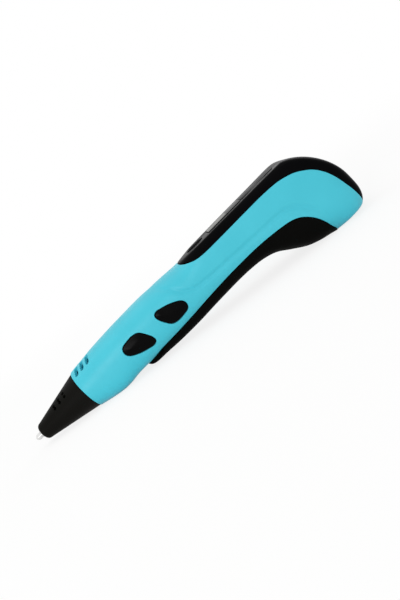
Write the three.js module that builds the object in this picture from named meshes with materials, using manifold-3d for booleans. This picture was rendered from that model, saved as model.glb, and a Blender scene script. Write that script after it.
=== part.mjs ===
// A handheld 3D-printing pen: two moulded clamshell halves with a display cap on top and a grip
// keel underneath, a vented nose cone with a ceramic nozzle, two petal-shaped feed buttons on the
// left side, a mode button, display and rocker on top, and the filament drive inside.
//
// Sizes are in millimetres. The parts are laid out in the barrel's own axes: +X runs from the
// nozzle tip to the tail along the filament, +Z points to the display and +Y to the right-hand
// side. The last lines tilt the barrel so that the pen lies on its chin and heel, at Z = 0.

import * as THREE from 'three';
import { mergeVertices } from 'three/addons/utils/BufferGeometryUtils.js';
import Module from 'manifold-3d';

const wasm = await Module();
wasm.setup();

// Overall form
const PEN_LENGTH = 182.8;        // nozzle tip to the rearmost point, along the barrel
const BARREL_RADIUS = 12;        // the height that the side profile's shares follow
const TAIL_HALF_WIDTH = 15.5;    // widest point of the tail
const WALL = 1.6;                // moulded wall
const SEAM = 0.18;               // visible gap between neighbouring mouldings
const CLEARANCE = 0.3;           // gap between a seated piece and its seat
const RUNNING_CLEARANCE = 0.15;  // gap round a piece that turns or slides
const OVERRUN = 3;               // how far a cutting tool runs past what it cuts
// How far the rearmost point and the flat end of the tail lie below the barrel axis
const TAIL_POINT_DROP = 1.4167 * BARREL_RADIUS;
const END_FACE_DROP = 2.45 * BARREL_RADIUS;
const REST_FLAT_DEPTH = 0.25;    // how much the chin and heel are flattened where they rest
const CHIN_SHARE = 0.252;        // where the chin rests, of the pen's length
const HEEL_SHARE = 0.885;

// Display cap and grip keel
const CAP_FLAT_HEIGHT = 0.8917 * BARREL_RADIUS;   // flat top above the barrel axis
const CAP_FLAT_FRONT = 0.569 * PEN_LENGTH;
const CAP_WALL = 1.5;
const KEEL_FRONT_RADIUS = 0.6167 * BARREL_RADIUS;
const KEEL_SQUARENESS = 2.8;
const KEEL_HOLLOW_BACK = 0.86 * PEN_LENGTH;

// Nose cone and nozzle
const NOSE_JOINT = 0.17615 * PEN_LENGTH;   // where the cone meets the shells
const NOSE_JOINT_RADIUS = 0.8083 * BARREL_RADIUS;
const CONE_TIP = 3.9;            // front face of the cone
const CONE_TIP_RADIUS = 4.25;
const CONE_TIP_ROUND = 1.5;
const CONE_WALL = 1.2;
const CONE_MOUTH_RADIUS = 1.85;
const SPIGOT_LENGTH = 3.2;
const SPIGOT_WALL = 1.1;
const NOZZLE_TIP_RADIUS = 0.8;
const NOZZLE_RADIUS = 1.45;
const NOZZLE_TAPER = 1.6;
const NOZZLE_SHANK = 9;
const NOZZLE_FLANGE_RADIUS = 2.9;
const NOZZLE_FLANGE = 1.8;
const NOZZLE_OUTLET_RADIUS = 0.35;
const FILAMENT_BORE_RADIUS = 1;

// Hot end behind the nozzle
const HEATER_RADIUS = 0.2583 * BARREL_RADIUS;
const SLEEVE_WALL = 0.5;
const THERMISTOR_RADIUS = 0.6;
const THERMISTOR_LENGTH = 2.4;
const HOLDER_THICKNESS = 2.4;
const HOLDER_COLLAR_RADIUS = 3.6;
const HOLDER_COLLAR_LENGTH = 4.1;

// Filament path
const GUIDE_RADIUS = 1.5;
const GUIDE_BEND_RADIUS = 1.8333 * BARREL_RADIUS;
const INLET_STATION = 0.9037 * PEN_LENGTH;
const INLET_BUSH_RADIUS = 0.01067 * PEN_LENGTH;
const INLET_FLANGE_RADIUS = 0.01313 * PEN_LENGTH;
const INLET_FLANGE = 0.8;
const INLET_BUSH_LENGTH = 5;
const INLET_BORE_RADIUS = 2 / 3 * INLET_BUSH_RADIUS;

// Power socket
const SOCKET_STATION = 0.9447 * PEN_LENGTH;
const SOCKET_RADIUS = 0.0197 * PEN_LENGTH;
const SOCKET_WALL = 0.75;
const SOCKET_DEPTH = 11.5;
const SOCKET_HOLE_DEPTH = 9;
const SOCKET_PIN_RADIUS = 1;
const SOCKET_LIP = 0.9;

// Filament drive
const GEAR_MODULE = BARREL_RADIUS / 24;
const PINION_TEETH = 12;
const SPINDLE_TEETH = 16;
const GEAR_CLEARANCE = 0.12;     // tip and flank clearance of the teeth
const TOOTH_DEPTH_SHARE = 1.25;  // root below the pitch circle, of the module
const TOOTH_FOOT_SHARE = 0.36;   // half a tooth's foot and half its tip, of the tooth spacing
const TOOTH_TIP_SHARE = 0.13;
const PINION_FACE = 4;
const SPINDLE_FACE = 3.4;
const GEAR_STATION = 0.5361 * PEN_LENGTH;  // middle of the meshing teeth
const SPINDLE_HUB_RADIUS = 0.1833 * BARREL_RADIUS;
const SPINDLE_LENGTH = 11.4;
const BUSH_RADIUS = 0.275 * BARREL_RADIUS;
const BUSH_LENGTH = 2.2;
const BUSH_SPACING = 8.6;        // between the middles of the two bushes
const SHAFT_RADIUS = 0.125 * BARREL_RADIUS;
const SHAFT_FLAT = 0.4;
const SHAFT_LENGTH = 9.5;
const GEARBOX_LENGTH = 0.0492 * PEN_LENGTH;
const GEARBOX_WIDTH = 0.8333 * BARREL_RADIUS;
const GEARBOX_HEIGHT = 0.6667 * BARREL_RADIUS;
const MOTOR_LENGTH = 0.082 * PEN_LENGTH;
const MOTOR_CAP = 1.4;
const MOTOR_CAP_RADIUS = 0.358 * BARREL_RADIUS;
const MOTOR_CAP_HEIGHT = 0.583 * BARREL_RADIUS;
const CARRIER_PLATE = 2.6;
const CARRIER_WALL = 1.2;
const CARRIER_WIDTH = GEARBOX_WIDTH + 2.5 * CARRIER_WALL;

// Cooling fan
const FAN_SIZE = 0.9032 * TAIL_HALF_WIDTH;
const FAN_THICKNESS = 0.333 * BARREL_RADIUS;
const FAN_STATION = 0.2648 * PEN_LENGTH;
const FAN_BASE = 0.175 * BARREL_RADIUS;    // underside of the fan above the barrel axis
const FAN_RIM = 0.6;
const FAN_HUB_RADIUS = 2.6;
const FAN_BLADE_COUNT = 5;
const FAN_BLADE_THICKNESS = 0.5;
const FAN_BLADE_HEIGHT_SHARE = 0.9;        // of the hub's height
const FAN_BLADE_PITCH = THREE.MathUtils.degToRad(38);
const FAN_PLATE = 0.8;
const FAN_SPOKE_WIDTH = 1.2;
const SHELF_THICKNESS = 1.2;
const SHELF_REACH = 1.6;         // how far a shelf runs under the fan

// Feed buttons on the left side
const BUTTON_LEVEL = -0.1 * BARREL_RADIUS;
const LOAD_BUTTON = { station: 0.3507 * PEN_LENGTH, height: BUTTON_LEVEL, turn: 0 };
const UNLOAD_BUTTON = { station: 0.4644 * PEN_LENGTH, height: BUTTON_LEVEL, turn: Math.PI };
const BUTTON_LENGTH = 0.076 * PEN_LENGTH;
const BUTTON_HEIGHT = 0.825 * BARREL_RADIUS;
const BUTTON_PROUD = 0.5;
const BUTTON_FLANGE = 0.8;       // how far the hidden flange reaches past the opening
const BUTTON_FLANGE_THICKNESS = 0.8;
const BUTTON_TRAVEL = 0.4;
const BUTTON_STEM_RADIUS = 1.4;
// Outline of a feed button, of half its length and half its height
const PETAL_SHARES = [
  [1, -0.455], [0.786, 0.27], [0.514, 0.82], [0.157, 1], [-0.37, 0.98], [-0.83, 0.84],
  [-1, 0.35], [-0.86, -0.05], [-0.257, -0.5], [0.6, -0.96], [0.93, -1],
];

// Controls on the cap, from the rear one forward
const CONTROLS_BACK = 0.878 * PEN_LENGTH;  // rear end of the rocker
const ROCKER_LENGTH = 0.1061 * PEN_LENGTH;
const ROCKER_STATION = CONTROLS_BACK - ROCKER_LENGTH / 2;
const ROCKER_WIDTH = 11.2;
const ROCKER_PROUD = 0.6;
const ROCKER_THICKNESS = 2.4;
const ROCKER_DISH = 0.35;        // depth of the hollow between the rocker's two keys
const ROCKER_PIN_RADIUS = 0.7;
const ROCKER_LUG = 1.6;
const ROCKER_LUG_RADIUS = 1.7;
const ROCKER_TILT = THREE.MathUtils.degToRad(2);
const CONTROL_GAP = 1.1;         // between the window and the rocker
const WINDOW_LENGTH = 0.105 * PEN_LENGTH;
const WINDOW_STATION = ROCKER_STATION - (ROCKER_LENGTH + WINDOW_LENGTH) / 2 - CONTROL_GAP;
const WINDOW_WIDTH = 11.2;
const WINDOW_PROUD = 0.35;
const WINDOW_THICKNESS = 1.3;
const WINDOW_LEDGE = 1;
const WINDOW_CORNER = 1.2;
const MODE_BUTTON_GAP = 3.6;     // between the mode button and the window
const MODE_BUTTON_LENGTH = 0.0503 * PEN_LENGTH;
const MODE_BUTTON_STATION = WINDOW_STATION - (WINDOW_LENGTH + MODE_BUTTON_LENGTH) / 2
  - MODE_BUTTON_GAP;
const MODE_BUTTON_WIDTH = 6.4;
const MODE_BUTTON_PROUD = 0.7;
const MODE_BUTTON_TAPER_SHARE = 0.15;      // how much its front is narrowed

// Electronics
const BOARD_THICKNESS = 1.2;
const SIDE_BOARD_LENGTH = 0.1805 * PEN_LENGTH;
const SIDE_BOARD_HEIGHT = 0.6667 * BARREL_RADIUS;
const SIDE_BOARD_ROOM = 5.65;    // from the side board's outer face to the housing's surface
const SWITCH_SIZE = 4.5;
const SWITCH_HEIGHT = 1.4;
const PLUNGER_RADIUS = 0.9;
const PLUNGER_HEIGHT = 0.5;
const MAIN_BOARD_FRONT = MODE_BUTTON_STATION - MODE_BUTTON_LENGTH / 2 - SEAM;
const POST_RADIUS = 1;
const MAIN_BOARD_BACK = CONTROLS_BACK - 2 * POST_RADIUS;
const MAIN_BOARD_WIDTH = 17;
const MAIN_BOARD_TOP = 0.3833 * BARREL_RADIUS;

// Screws that hold the two shells together: [share of the length, share of the barrel radius]
const SCREW_SHARES = [[0.2845, -0.667], [0.4486, 0.633], [0.7604, -0.54], [0.9163, -0.833]];
const SCREW_RADIUS = 0.9;
const SCREW_LENGTH = 9;
const SCREW_HEAD_RADIUS = 1.7;
const SCREW_HEAD_HEIGHT = 1.2;
const SCREW_SLOT_WIDTH = 0.5;
const BOSS_RADIUS = 2.1;

// Vents
const SLOT_FRONT = 0.1969 * PEN_LENGTH;
const SLOT_SPACING = 0.0197 * PEN_LENGTH;
const SLOT_COUNT = 3;
const SLOT_WIDTH = 0.0082 * PEN_LENGTH;
const SLOT_LEAN_SHARE = 0.45;    // how far a slot's upper end leans back, of its height
const SLOT_START = THREE.MathUtils.degToRad(6);
const SLOT_END = THREE.MathUtils.degToRad(38);
const CONE_VENT_RADIUS = 0.62;
const CONE_VENT_SHARES = [0.46, 0.58, 0.7];          // of the cone's length from its tip
const CONE_VENT_ANGLES = [30, 45, -30, -45].map(THREE.MathUtils.degToRad);

// Leads between the boards and what they serve
const LEAD_RADIUS = 0.7;
const LEAD_SIDES = 5;
const LEAD_SEGMENTS = 7;
const LEAD_BOARD_GAP = 0.25;     // between a lead and the underside of the main board
// How far the leads lie from the middle plane
const LEAD_INNER = 0.25 * CARRIER_WIDTH;
const LEAD_OUTER = 0.4 * CARRIER_WIDTH;
const LEAD_BESIDE_MOTOR = 0.32 * CARRIER_WIDTH;
const LEAD_AT_SOCKET = 0.15 * CARRIER_WIDTH;
// Heights of the leads along their way, of the bearing plates' height
const HEATER_LEAD_SHARES = [-1, -0.8, 0, 0.7, 0.95, 1.2, 1];
const FAN_LEAD_SHARES = [0.8, 0.9, 0.95, 1];
// Heights of the socket's lead, of the socket's inner end
const SOCKET_LEAD_SHARES = [0.62, 0.28];

// Side profile: [share of the pen's length, share of the barrel radius]
const TOP_SHARES = [
  [0.166, 0.81], [0.186, 0.86], [0.219, 0.9], [0.252, 0.945], [0.317, 0.985], [0.361, 0.995],
  [0.427, 0.995], [0.46, 0.965], [0.492, 0.945], [0.525, 0.905], [0.5525, 0.875], [0.58, 0.91],
  [0.605, 0.96], [0.66, 0.97], [0.82, 0.965], [1, 0.96],
];
const BOTTOM_SHARES = [
  [0.166, -0.79], [0.186, -0.86], [0.202, -0.915], [0.219, -0.965], [0.235, -1],
  [0.252, -1.02], [0.274, -1.01], [0.3, -0.965], [0.34, -0.965], [0.44, -0.965], [0.547, -0.965],
  [0.613, -1], [0.656, -1.12], [0.695, -1.25], [0.728, -1.4], [0.76, -1.64],
  [0.793, -2.03], [0.826, -2.28], [0.859, -2.42], [0.892, -2.55], [0.93, -2.7], [1, -2.8],
];
const KEEL_SHARES = [
  [0.3255, -0.96], [0.3365, -1.09], [0.35, -1.16], [0.383, -1.185], [0.432, -1.23],
  [0.498, -1.235], [0.547, -1.205], [0.613, -1.185], [0.646, -1.185], [0.678, -1.21],
  [0.711, -1.28], [0.744, -1.45], [0.777, -1.8], [0.81, -2.13], [0.842, -2.32],
  [0.875, -2.43], [0.892, -2.5],
];
// Edge of the keel against the shells, and of the cap against the shells
const KEEL_EDGE_SHARES = [
  [0.3255, -0.83], [0.383, -0.8], [0.438, -0.78], [0.547, -0.7], [0.613, -0.67],
  [0.695, -0.68], [0.728, -0.7], [0.76, -0.745], [0.793, -0.81], [0.826, -0.93],
  [0.842, -1.04], [0.859, -1.22], [0.875, -1.6], [0.883, -2.05], [0.887, -2.7],
];
const CAP_EDGE_SHARES = [
  [0.551, 0.98], [0.555, 0.88], [0.563, 0.81], [0.58, 0.71], [0.596, 0.63], [0.613, 0.59],
  [0.646, 0.56], [0.82, 0.555], [0.859, 0.49], [0.892, 0.38], [0.925, 0.17],
  [0.941, -0.03], [0.957, -0.3], [0.973, -0.8], [0.983, -1.37], [0.991, -1.9], [1, -2.35],
];
// Half width: [share of the pen's length, share of the tail's half width]
const WIDTH_SHARES = [
  [0.166, 0.64], [0.197, 0.68], [0.252, 0.735], [0.328, 0.768], [0.438, 0.78], [0.547, 0.8],
  [0.656, 0.845], [0.766, 0.93], [0.832, 0.98], [0.875, 1], [1, 1],
];
// Squareness of the section: [share of the pen's length, exponent], 2 is round
const UPPER_SQUARENESS_SHARES = [[0.166, 2], [0.252, 2.35], [0.44, 2.5], [0.875, 2.6], [1, 2.5]];
const LOWER_SQUARENESS_SHARES = [
  [0.166, 2], [0.219, 2.5], [0.252, 3], [0.33, 3.2], [0.547, 3], [0.684, 2.6], [1, 2.6],
];
const TAIL_ROUND_SHARE = 0.875;  // where the tail starts to close, of the pen's length
const TAIL_TOP_ROUNDNESS = 1.8;
const TAIL_BOTTOM_ROUNDNESS = 3.2;
const TAIL_SIDE_ROUNDNESS = 2.6;
// Places of the lofted rings, of the pen's length
const OUTER_RING_SHARES = [
  0.181, 0.202, 0.219, 0.235, 0.252, 0.274, 0.3, 0.35, 0.427, 0.46, 0.492, 0.525, 0.5525,
  0.58, 0.605, 0.66, 0.711, 0.744, 0.777, 0.81, 0.842,
  0.875, 0.9, 0.926, 0.95, 0.97, 0.985, 0.998,
];
const INNER_RING_SHARES = [
  0.186, 0.235, 0.3, 0.38, 0.46, 0.525, 0.6, 0.68, 0.744, 0.777, 0.81, 0.85, 0.9, 0.94, 0.97, 0.99,
];
const KEEL_RING_SHARES = [
  0.3255, 0.331, 0.3365, 0.35, 0.39, 0.46, 0.54, 0.62, 0.68, 0.711, 0.744, 0.777, 0.81, 0.85, 0.89,
];
const OUTER_RING_POINTS = 32;
const INNER_RING_POINTS = 16;

// Colours, from the photograph
const MATERIALS = {
  shell: { color: 0x4fc3d6, roughness: 0.5 },
  glossBlack: { color: 0x0b0b0c, roughness: 0.18 },
  softBlack: { color: 0x111111, roughness: 0.6 },
  noseBlack: { color: 0x151513, roughness: 0.5 },
  ceramic: { color: 0xe4e4e0, roughness: 0.35 },
  steel: { color: 0xb8babd, roughness: 0.3, metalness: 1 },
  brass: { color: 0xb99a55, roughness: 0.35, metalness: 1 },
  board: { color: 0x1d5a38, roughness: 0.55 },
  glass: { color: 0x1b1d1e, roughness: 0.08 },
  amber: { color: 0xb9823a, roughness: 0.5 },
  ptfe: { color: 0xeeeee8, roughness: 0.5 },
  nylon: { color: 0xd9d6cb, roughness: 0.6 },
  cable: { color: 0xa02020, roughness: 0.5 },
};

// Turns a closed three.js geometry into a solid that can be cut and joined.
function toSolid(geometry) {
  const bare = new THREE.BufferGeometry();
  bare.setAttribute('position', geometry.getAttribute('position').clone());
  if (geometry.index) {
    bare.setIndex(geometry.index.clone());
  }
  const merged = mergeVertices(bare);
  return new wasm.Manifold(new wasm.Mesh({
    numProp: 3,
    vertProperties: merged.attributes.position.array,
    triVerts: new Uint32Array(merged.index.array),
  }));
}

// Turns a solid back into a geometry that a mesh can show.
function toGeometry(solid) {
  const mesh = solid.getMesh();
  const positions = new Float32Array(mesh.numVert * 3);
  for (let i = 0; i < mesh.numVert; i += 1) {
    const start = i * mesh.numProp;
    positions.set(mesh.vertProperties.subarray(start, start + 3), i * 3);
  }
  const geometry = new THREE.BufferGeometry();
  geometry.setAttribute('position', new THREE.BufferAttribute(positions, 3));
  geometry.setIndex(new THREE.BufferAttribute(new Uint32Array(mesh.triVerts), 1));
  return geometry;
}

// A smooth curve through hand-chosen shares, scaled to a length and a height.
function profile(shares, heightScale) {
  const x = shares.map(([share]) => share * PEN_LENGTH);
  const y = shares.map(([, share]) => share * heightScale);
  const last = x.length - 1;
  const slopes = x.map((_, i) => {
    const before = Math.max(i - 1, 0);
    const after = Math.min(i + 1, last);
    return (y[after] - y[before]) / (x[after] - x[before]);
  });
  return (station) => {
    const at = Math.min(Math.max(station, x[0]), x[last]);
    let i = 0;
    while (i < last - 1 && at > x[i + 1]) {
      i += 1;
    }
    const span = x[i + 1] - x[i];
    const t = (at - x[i]) / span;
    const rise = y[i + 1] - y[i];
    const a = slopes[i] * span - rise;
    const b = rise - slopes[i + 1] * span;
    return y[i] + t * rise + t * (1 - t) * (a * (1 - t) + b * t);
  };
}

const topLine = profile(TOP_SHARES, BARREL_RADIUS);
const bottomLine = profile(BOTTOM_SHARES, BARREL_RADIUS);
const keelLine = profile(KEEL_SHARES, BARREL_RADIUS);
const keelEdge = profile(KEEL_EDGE_SHARES, BARREL_RADIUS);
const capEdge = profile(CAP_EDGE_SHARES, BARREL_RADIUS);
const widthLine = profile(WIDTH_SHARES, TAIL_HALF_WIDTH);
const upperSquareness = profile(UPPER_SQUARENESS_SHARES, 1);
const lowerSquareness = profile(LOWER_SQUARENESS_SHARES, 1);

// How much of its size the tail still has at a station, from 1 down to 0 at the rearmost point.
function tailFade(station, roundness) {
  const start = TAIL_ROUND_SHARE * PEN_LENGTH;
  const share = Math.max(0, (station - start) / (PEN_LENGTH - start));
  return Math.max(0, 1 - share ** roundness) ** (1 / roundness);
}

// Top, bottom, half width and squareness of the body's outer section at a station.
function bodySection(station) {
  const fallTop = tailFade(station, TAIL_TOP_ROUNDNESS);
  const fallBottom = tailFade(station, TAIL_BOTTOM_ROUNDNESS);
  return {
    top: -TAIL_POINT_DROP + (topLine(station) + TAIL_POINT_DROP) * fallTop
      || -TAIL_POINT_DROP,
    bottom: station < TAIL_ROUND_SHARE * PEN_LENGTH
      ? bottomLine(station)
      : -TAIL_POINT_DROP + (bottomLine(station) + TAIL_POINT_DROP) * fallBottom,
    halfWidth: widthLine(station) * tailFade(station, TAIL_SIDE_ROUNDNESS),
    upper: upperSquareness(station),
    lower: lowerSquareness(station),
  };
}

// Half width of a section at a height.
function halfWidthAt(section, height) {
  const middle = (section.top + section.bottom) / 2;
  const reach = (section.top - section.bottom) / 2;
  const power = height > middle ? section.upper : section.lower;
  const share = Math.min(1, Math.abs(height - middle) / reach);
  return section.halfWidth * (1 - share ** power) ** (1 / power);
}

// The ring of points of a section, drawn in by an inset.
function sectionRing(section, place, inset, count) {
  const middle = (section.top + section.bottom) / 2;
  const reach = (section.top - section.bottom) / 2 - inset;
  const width = section.halfWidth - inset;
  return Array.from({ length: count }, (_, i) => {
    const angle = (i / count) * 2 * Math.PI;
    const across = Math.cos(angle);
    const up = Math.sin(angle);
    const power = up > 0 ? section.upper : section.lower;
    const size = (Math.abs(across) ** power + Math.abs(up) ** power) ** (-1 / power);
    return new THREE.Vector3(place, width * size * across, middle + reach * size * up);
  });
}

// A closed solid through rings of equal point counts, which run anticlockwise about +X.
function loft(rings) {
  const count = rings[0].length;
  const last = (rings.length - 1) * count;
  const positions = rings.flat().flatMap((point) => point.toArray());
  const faces = [];
  for (let i = 0; i < rings.length - 1; i += 1) {
    for (let j = 0; j < count; j += 1) {
      const here = i * count + j;
      const next = i * count + ((j + 1) % count);
      faces.push(here, next, here + count, next, next + count, here + count);
    }
  }
  for (let j = 1; j < count - 1; j += 1) {
    faces.push(0, j + 1, j, last, last + j, last + j + 1);
  }
  const geometry = new THREE.BufferGeometry();
  geometry.setAttribute('position', new THREE.Float32BufferAttribute(positions, 3));
  geometry.setIndex(faces);
  return toSolid(geometry);
}

// The pen's outer form, drawn in by an inset and run forward of the nose joint by a lead.
function bodyForm(inset, lead, ringShares, ringPoints) {
  const end = PEN_LENGTH - inset;
  const stretch = (PEN_LENGTH - NOSE_JOINT) / (end - NOSE_JOINT);
  const front = { ...bodySection(NOSE_JOINT), halfWidth: NOSE_JOINT_RADIUS };
  front.top = NOSE_JOINT_RADIUS;
  front.bottom = -NOSE_JOINT_RADIUS;
  const rings = [sectionRing(front, NOSE_JOINT - lead, inset, ringPoints)];
  if (lead > 0) {
    rings.push(sectionRing(front, NOSE_JOINT, inset, ringPoints));
  }
  for (const share of ringShares) {
    const station = share * PEN_LENGTH;
    const place = NOSE_JOINT + (station - NOSE_JOINT) / stretch;
    rings.push(sectionRing(bodySection(station), place, inset, ringPoints));
  }
  return loft(rings);
}

// A prism across the pen, from an outline of [station, height] points.
function sidePrism(points, halfDepth = TAIL_HALF_WIDTH + OVERRUN) {
  const shape = new THREE.Shape(points.map(([x, z]) => new THREE.Vector2(x, z)));
  const geometry = new THREE.ExtrudeGeometry(shape, { depth: 2 * halfDepth, bevelEnabled: false });
  geometry.rotateX(Math.PI / 2);
  geometry.translate(0, halfDepth, 0);
  return toSolid(geometry);
}

// A prism standing on the pen, from an outline of [station, across] points.
function topPrism(points, low, high) {
  const shape = new THREE.Shape(points.map(([x, y]) => new THREE.Vector2(x, y)));
  const geometry = new THREE.ExtrudeGeometry(shape, { depth: high - low, bevelEnabled: false });
  geometry.translate(0, 0, low);
  return toSolid(geometry);
}

function box(lowX, highX, lowY, highY, lowZ, highZ) {
  const geometry = new THREE.BoxGeometry(highX - lowX, highY - lowY, highZ - lowZ);
  geometry.translate((lowX + highX) / 2, (lowY + highY) / 2, (lowZ + highZ) / 2);
  return toSolid(geometry);
}

// A body of revolution about X, from a closed outline of [station, radius] points that runs
// back along the bore and forward along the outside.
function turned(points, segments = 16) {
  const outline = points.map(([x, radius]) => new THREE.Vector2(radius, x)).reverse();
  const geometry = new THREE.LatheGeometry(outline, segments);
  geometry.rotateZ(-Math.PI / 2);
  return toSolid(geometry);
}

// A round bar along 'x', 'y' or 'z' through a centre.
function bar(axis, radius, length, centre = [0, 0, 0], segments = 14) {
  const geometry = new THREE.CylinderGeometry(radius, radius, length, segments);
  if (axis === 'x') {
    geometry.rotateZ(-Math.PI / 2);
  }
  if (axis === 'z') {
    geometry.rotateX(Math.PI / 2);
  }
  geometry.translate(...centre);
  return toSolid(geometry);
}

function joined(...solids) {
  return solids.reduce((all, next) => all.add(next));
}

const pen = new THREE.Group();

// Adds one named piece, placed at a point of the barrel's axes, to a group.
function addPiece(name, solid, material, place = [0, 0, 0], group = pen) {
  const mesh = new THREE.Mesh(toGeometry(solid), new THREE.MeshStandardMaterial(material));
  mesh.name = name;
  mesh.position.set(...place);
  group.add(mesh);
  return mesh;
}

// Resting attitude: the chin under the grip and the heel of the tail touch the table.
const chin = new THREE.Vector2(CHIN_SHARE * PEN_LENGTH, bottomLine(CHIN_SHARE * PEN_LENGTH));
const heel = new THREE.Vector2(HEEL_SHARE * PEN_LENGTH, -END_FACE_DROP);
const restTilt = Math.atan2(chin.y - heel.y, heel.x - chin.x);

// Everything below the table line, which flattens the chin and the heel.
function belowTable() {
  const depth = TAIL_HALF_WIDTH * 2;
  const slab = new THREE.BoxGeometry(2 * PEN_LENGTH, 4 * TAIL_HALF_WIDTH, depth);
  slab.translate(0, 0, REST_FLAT_DEPTH - depth / 2);
  slab.rotateY(restTilt);
  slab.translate(chin.x, 0, chin.y);
  return toSolid(slab);
}

// Everything below the tail's end face, which carries the power socket and the filament inlet.
function belowEndFace(raise = 0) {
  return box(heel.x - OVERRUN, PEN_LENGTH + OVERRUN, -2 * TAIL_HALF_WIDTH, 2 * TAIL_HALF_WIDTH,
    -4 * TAIL_HALF_WIDTH, raise - END_FACE_DROP);
}

// The stations at which an edge curve is followed.
function stationsOf(shares) {
  return shares.map(([share]) => share * PEN_LENGTH);
}

// The region of the display cap in side view, moved back and up by a gap.
function capRegion(gap) {
  const edge = stationsOf(CAP_EDGE_SHARES).map((x) => [x + gap, capEdge(x) + gap]);
  const [firstX] = edge[0];
  const high = 2 * BARREL_RADIUS;
  const back = PEN_LENGTH + OVERRUN;
  const lastZ = edge[edge.length - 1][1];
  return sidePrism([...edge, [back + gap, lastZ], [back + gap, high], [firstX, high]]);
}

// The region of the grip keel: below its edge, and behind its rounded front in plan.
function keelRegion(gap) {
  const edge = stationsOf(KEEL_EDGE_SHARES).map((x) => [x - gap, keelEdge(x) - gap]);
  const low = -4 * BARREL_RADIUS;
  const [frontX] = edge[0];
  const [backX] = edge[edge.length - 1];
  const side = sidePrism([[frontX, low], [backX, low], ...edge.reverse()]);
  const centre = frontX + KEEL_FRONT_RADIUS + 2 * gap;
  const radius = KEEL_FRONT_RADIUS - gap;
  const wide = TAIL_HALF_WIDTH + OVERRUN;
  const steps = 8;
  const arc = Array.from({ length: steps + 1 }, (_, i) => {
    const angle = Math.PI / 2 + (Math.PI * i) / steps;
    return [centre + radius * Math.cos(angle), radius * Math.sin(angle)];
  });
  const flare = centre + 4 * KEEL_FRONT_RADIUS;
  const back = PEN_LENGTH;
  const plan = [[back, wide], [flare, wide], ...arc, [flare, -wide], [back, -wide]];
  return side.intersect(topPrism(plan, low, 0));
}

// The keel's own outer form: flush with the body at its edge and rounded down to the keel line.
function keelForm(inset) {
  const steps = 6;
  const rings = [];
  for (const share of KEEL_RING_SHARES) {
    const x = share * PEN_LENGTH;
    const section = bodySection(x);
    const edge = Math.max(keelEdge(x), keelLine(x) + WALL);
    const low = keelLine(x) + inset;
    const top = edge + WALL;
    const side = Math.max(halfWidthAt(section, keelEdge(x)), KEEL_FRONT_RADIUS) - inset;
    const points = [[side, top]];
    for (let i = 0; i <= steps; i += 1) {
      const angle = (i / steps) * (Math.PI / 2);
      const across = Math.cos(angle);
      const down = Math.sin(angle);
      const size = (across ** KEEL_SQUARENESS + down ** KEEL_SQUARENESS) ** (-1 / KEEL_SQUARENESS);
      points.push([side * size * across, edge - (edge - low) * size * down]);
    }
    const half = points.map(([y, z]) => new THREE.Vector3(x, y, z));
    const other = points.slice(0, -1).reverse().map(([y, z]) => new THREE.Vector3(x, -y, z));
    rings.push([...half, ...other].reverse());
  }
  return loft(rings);
}

const outerForm = bodyForm(0, 0, OUTER_RING_SHARES, OUTER_RING_POINTS);
const innerForm = bodyForm(WALL, OVERRUN, INNER_RING_SHARES, INNER_RING_POINTS);
const trimmedOuter = outerForm.subtract(belowEndFace()).subtract(belowTable());
const trimmedInner = innerForm.subtract(belowEndFace(WALL));
const leftHalf = box(-OVERRUN, PEN_LENGTH + OVERRUN, -2 * TAIL_HALF_WIDTH, 0,
  -4 * TAIL_HALF_WIDTH, 2 * TAIL_HALF_WIDTH);
const rightHalf = box(-OVERRUN, PEN_LENGTH + OVERRUN, 0, 2 * TAIL_HALF_WIDTH,
  -4 * TAIL_HALF_WIDTH, 2 * TAIL_HALF_WIDTH);

// Outline of a feed button: a petal with its tip low at the back, grown by a margin. The
// unload button is the same petal turned half round.
function petal(button, margin) {
  const curve = new THREE.CatmullRomCurve3(PETAL_SHARES.map(([x, z]) =>
    new THREE.Vector3((x * BUTTON_LENGTH) / 2, 0, (z * BUTTON_HEIGHT) / 2)), true);
  const sign = Math.cos(button.turn);
  const steps = 22;
  return curve.getPoints(steps).slice(0, -1).map((point) => {
    const grown = point.multiplyScalar(sign * (1 + margin / point.length()));
    return [button.station + grown.x, button.height + grown.z];
  });
}

function petalPrism(button, margin) {
  return sidePrism(petal(button, margin)).intersect(leftHalf);
}

// Vent slots: rows of short slots that follow the section on both sides of the top.
function ventSlots() {
  const lean = new THREE.Matrix4().makeShear(0, 0, 0, 0, SLOT_LEAN_SHARE, 0);
  const cutters = [];
  for (let i = 0; i < SLOT_COUNT; i += 1) {
    const x = SLOT_FRONT + i * SLOT_SPACING;
    for (const side of [-1, 1]) {
      const reach = BARREL_RADIUS + OVERRUN;
      const fan = [[0, 0]];
      for (const angle of [SLOT_START, (SLOT_START + SLOT_END) / 2, SLOT_END]) {
        fan.push([side * reach * Math.sin(angle), reach * Math.cos(angle)]);
      }
      const shape = new THREE.Shape(fan.map(([y, z]) => new THREE.Vector2(y, z)));
      const geometry = new THREE.ExtrudeGeometry(shape, { depth: SLOT_WIDTH, bevelEnabled: false });
      geometry.rotateX(Math.PI / 2);
      geometry.rotateZ(Math.PI / 2);
      geometry.translate(x - SLOT_WIDTH / 2 - SLOT_LEAN_SHARE * NOSE_JOINT_RADIUS, 0, 0);
      geometry.applyMatrix4(lean);
      const cutter = toSolid(geometry);
      cutters.push(cutter.subtract(bar('x', BARREL_RADIUS / 2, PEN_LENGTH, [0, 0, 0], 8)));
    }
  }
  return joined(...cutters);
}

// Screw bosses across the housing; each shell keeps its half.
const screwPlaces = SCREW_SHARES.map(([along, up]) => [along * PEN_LENGTH, up * BARREL_RADIUS]);
function bosses() {
  return joined(...screwPlaces.map(([x, z]) =>
    bar('y', BOSS_RADIUS, 4 * TAIL_HALF_WIDTH, [x, 0, z], 12)));
}

// Outer surface of the body on the right-hand side at a place.
function sideSurface(x, z) {
  return halfWidthAt(bodySection(x), z);
}

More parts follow.
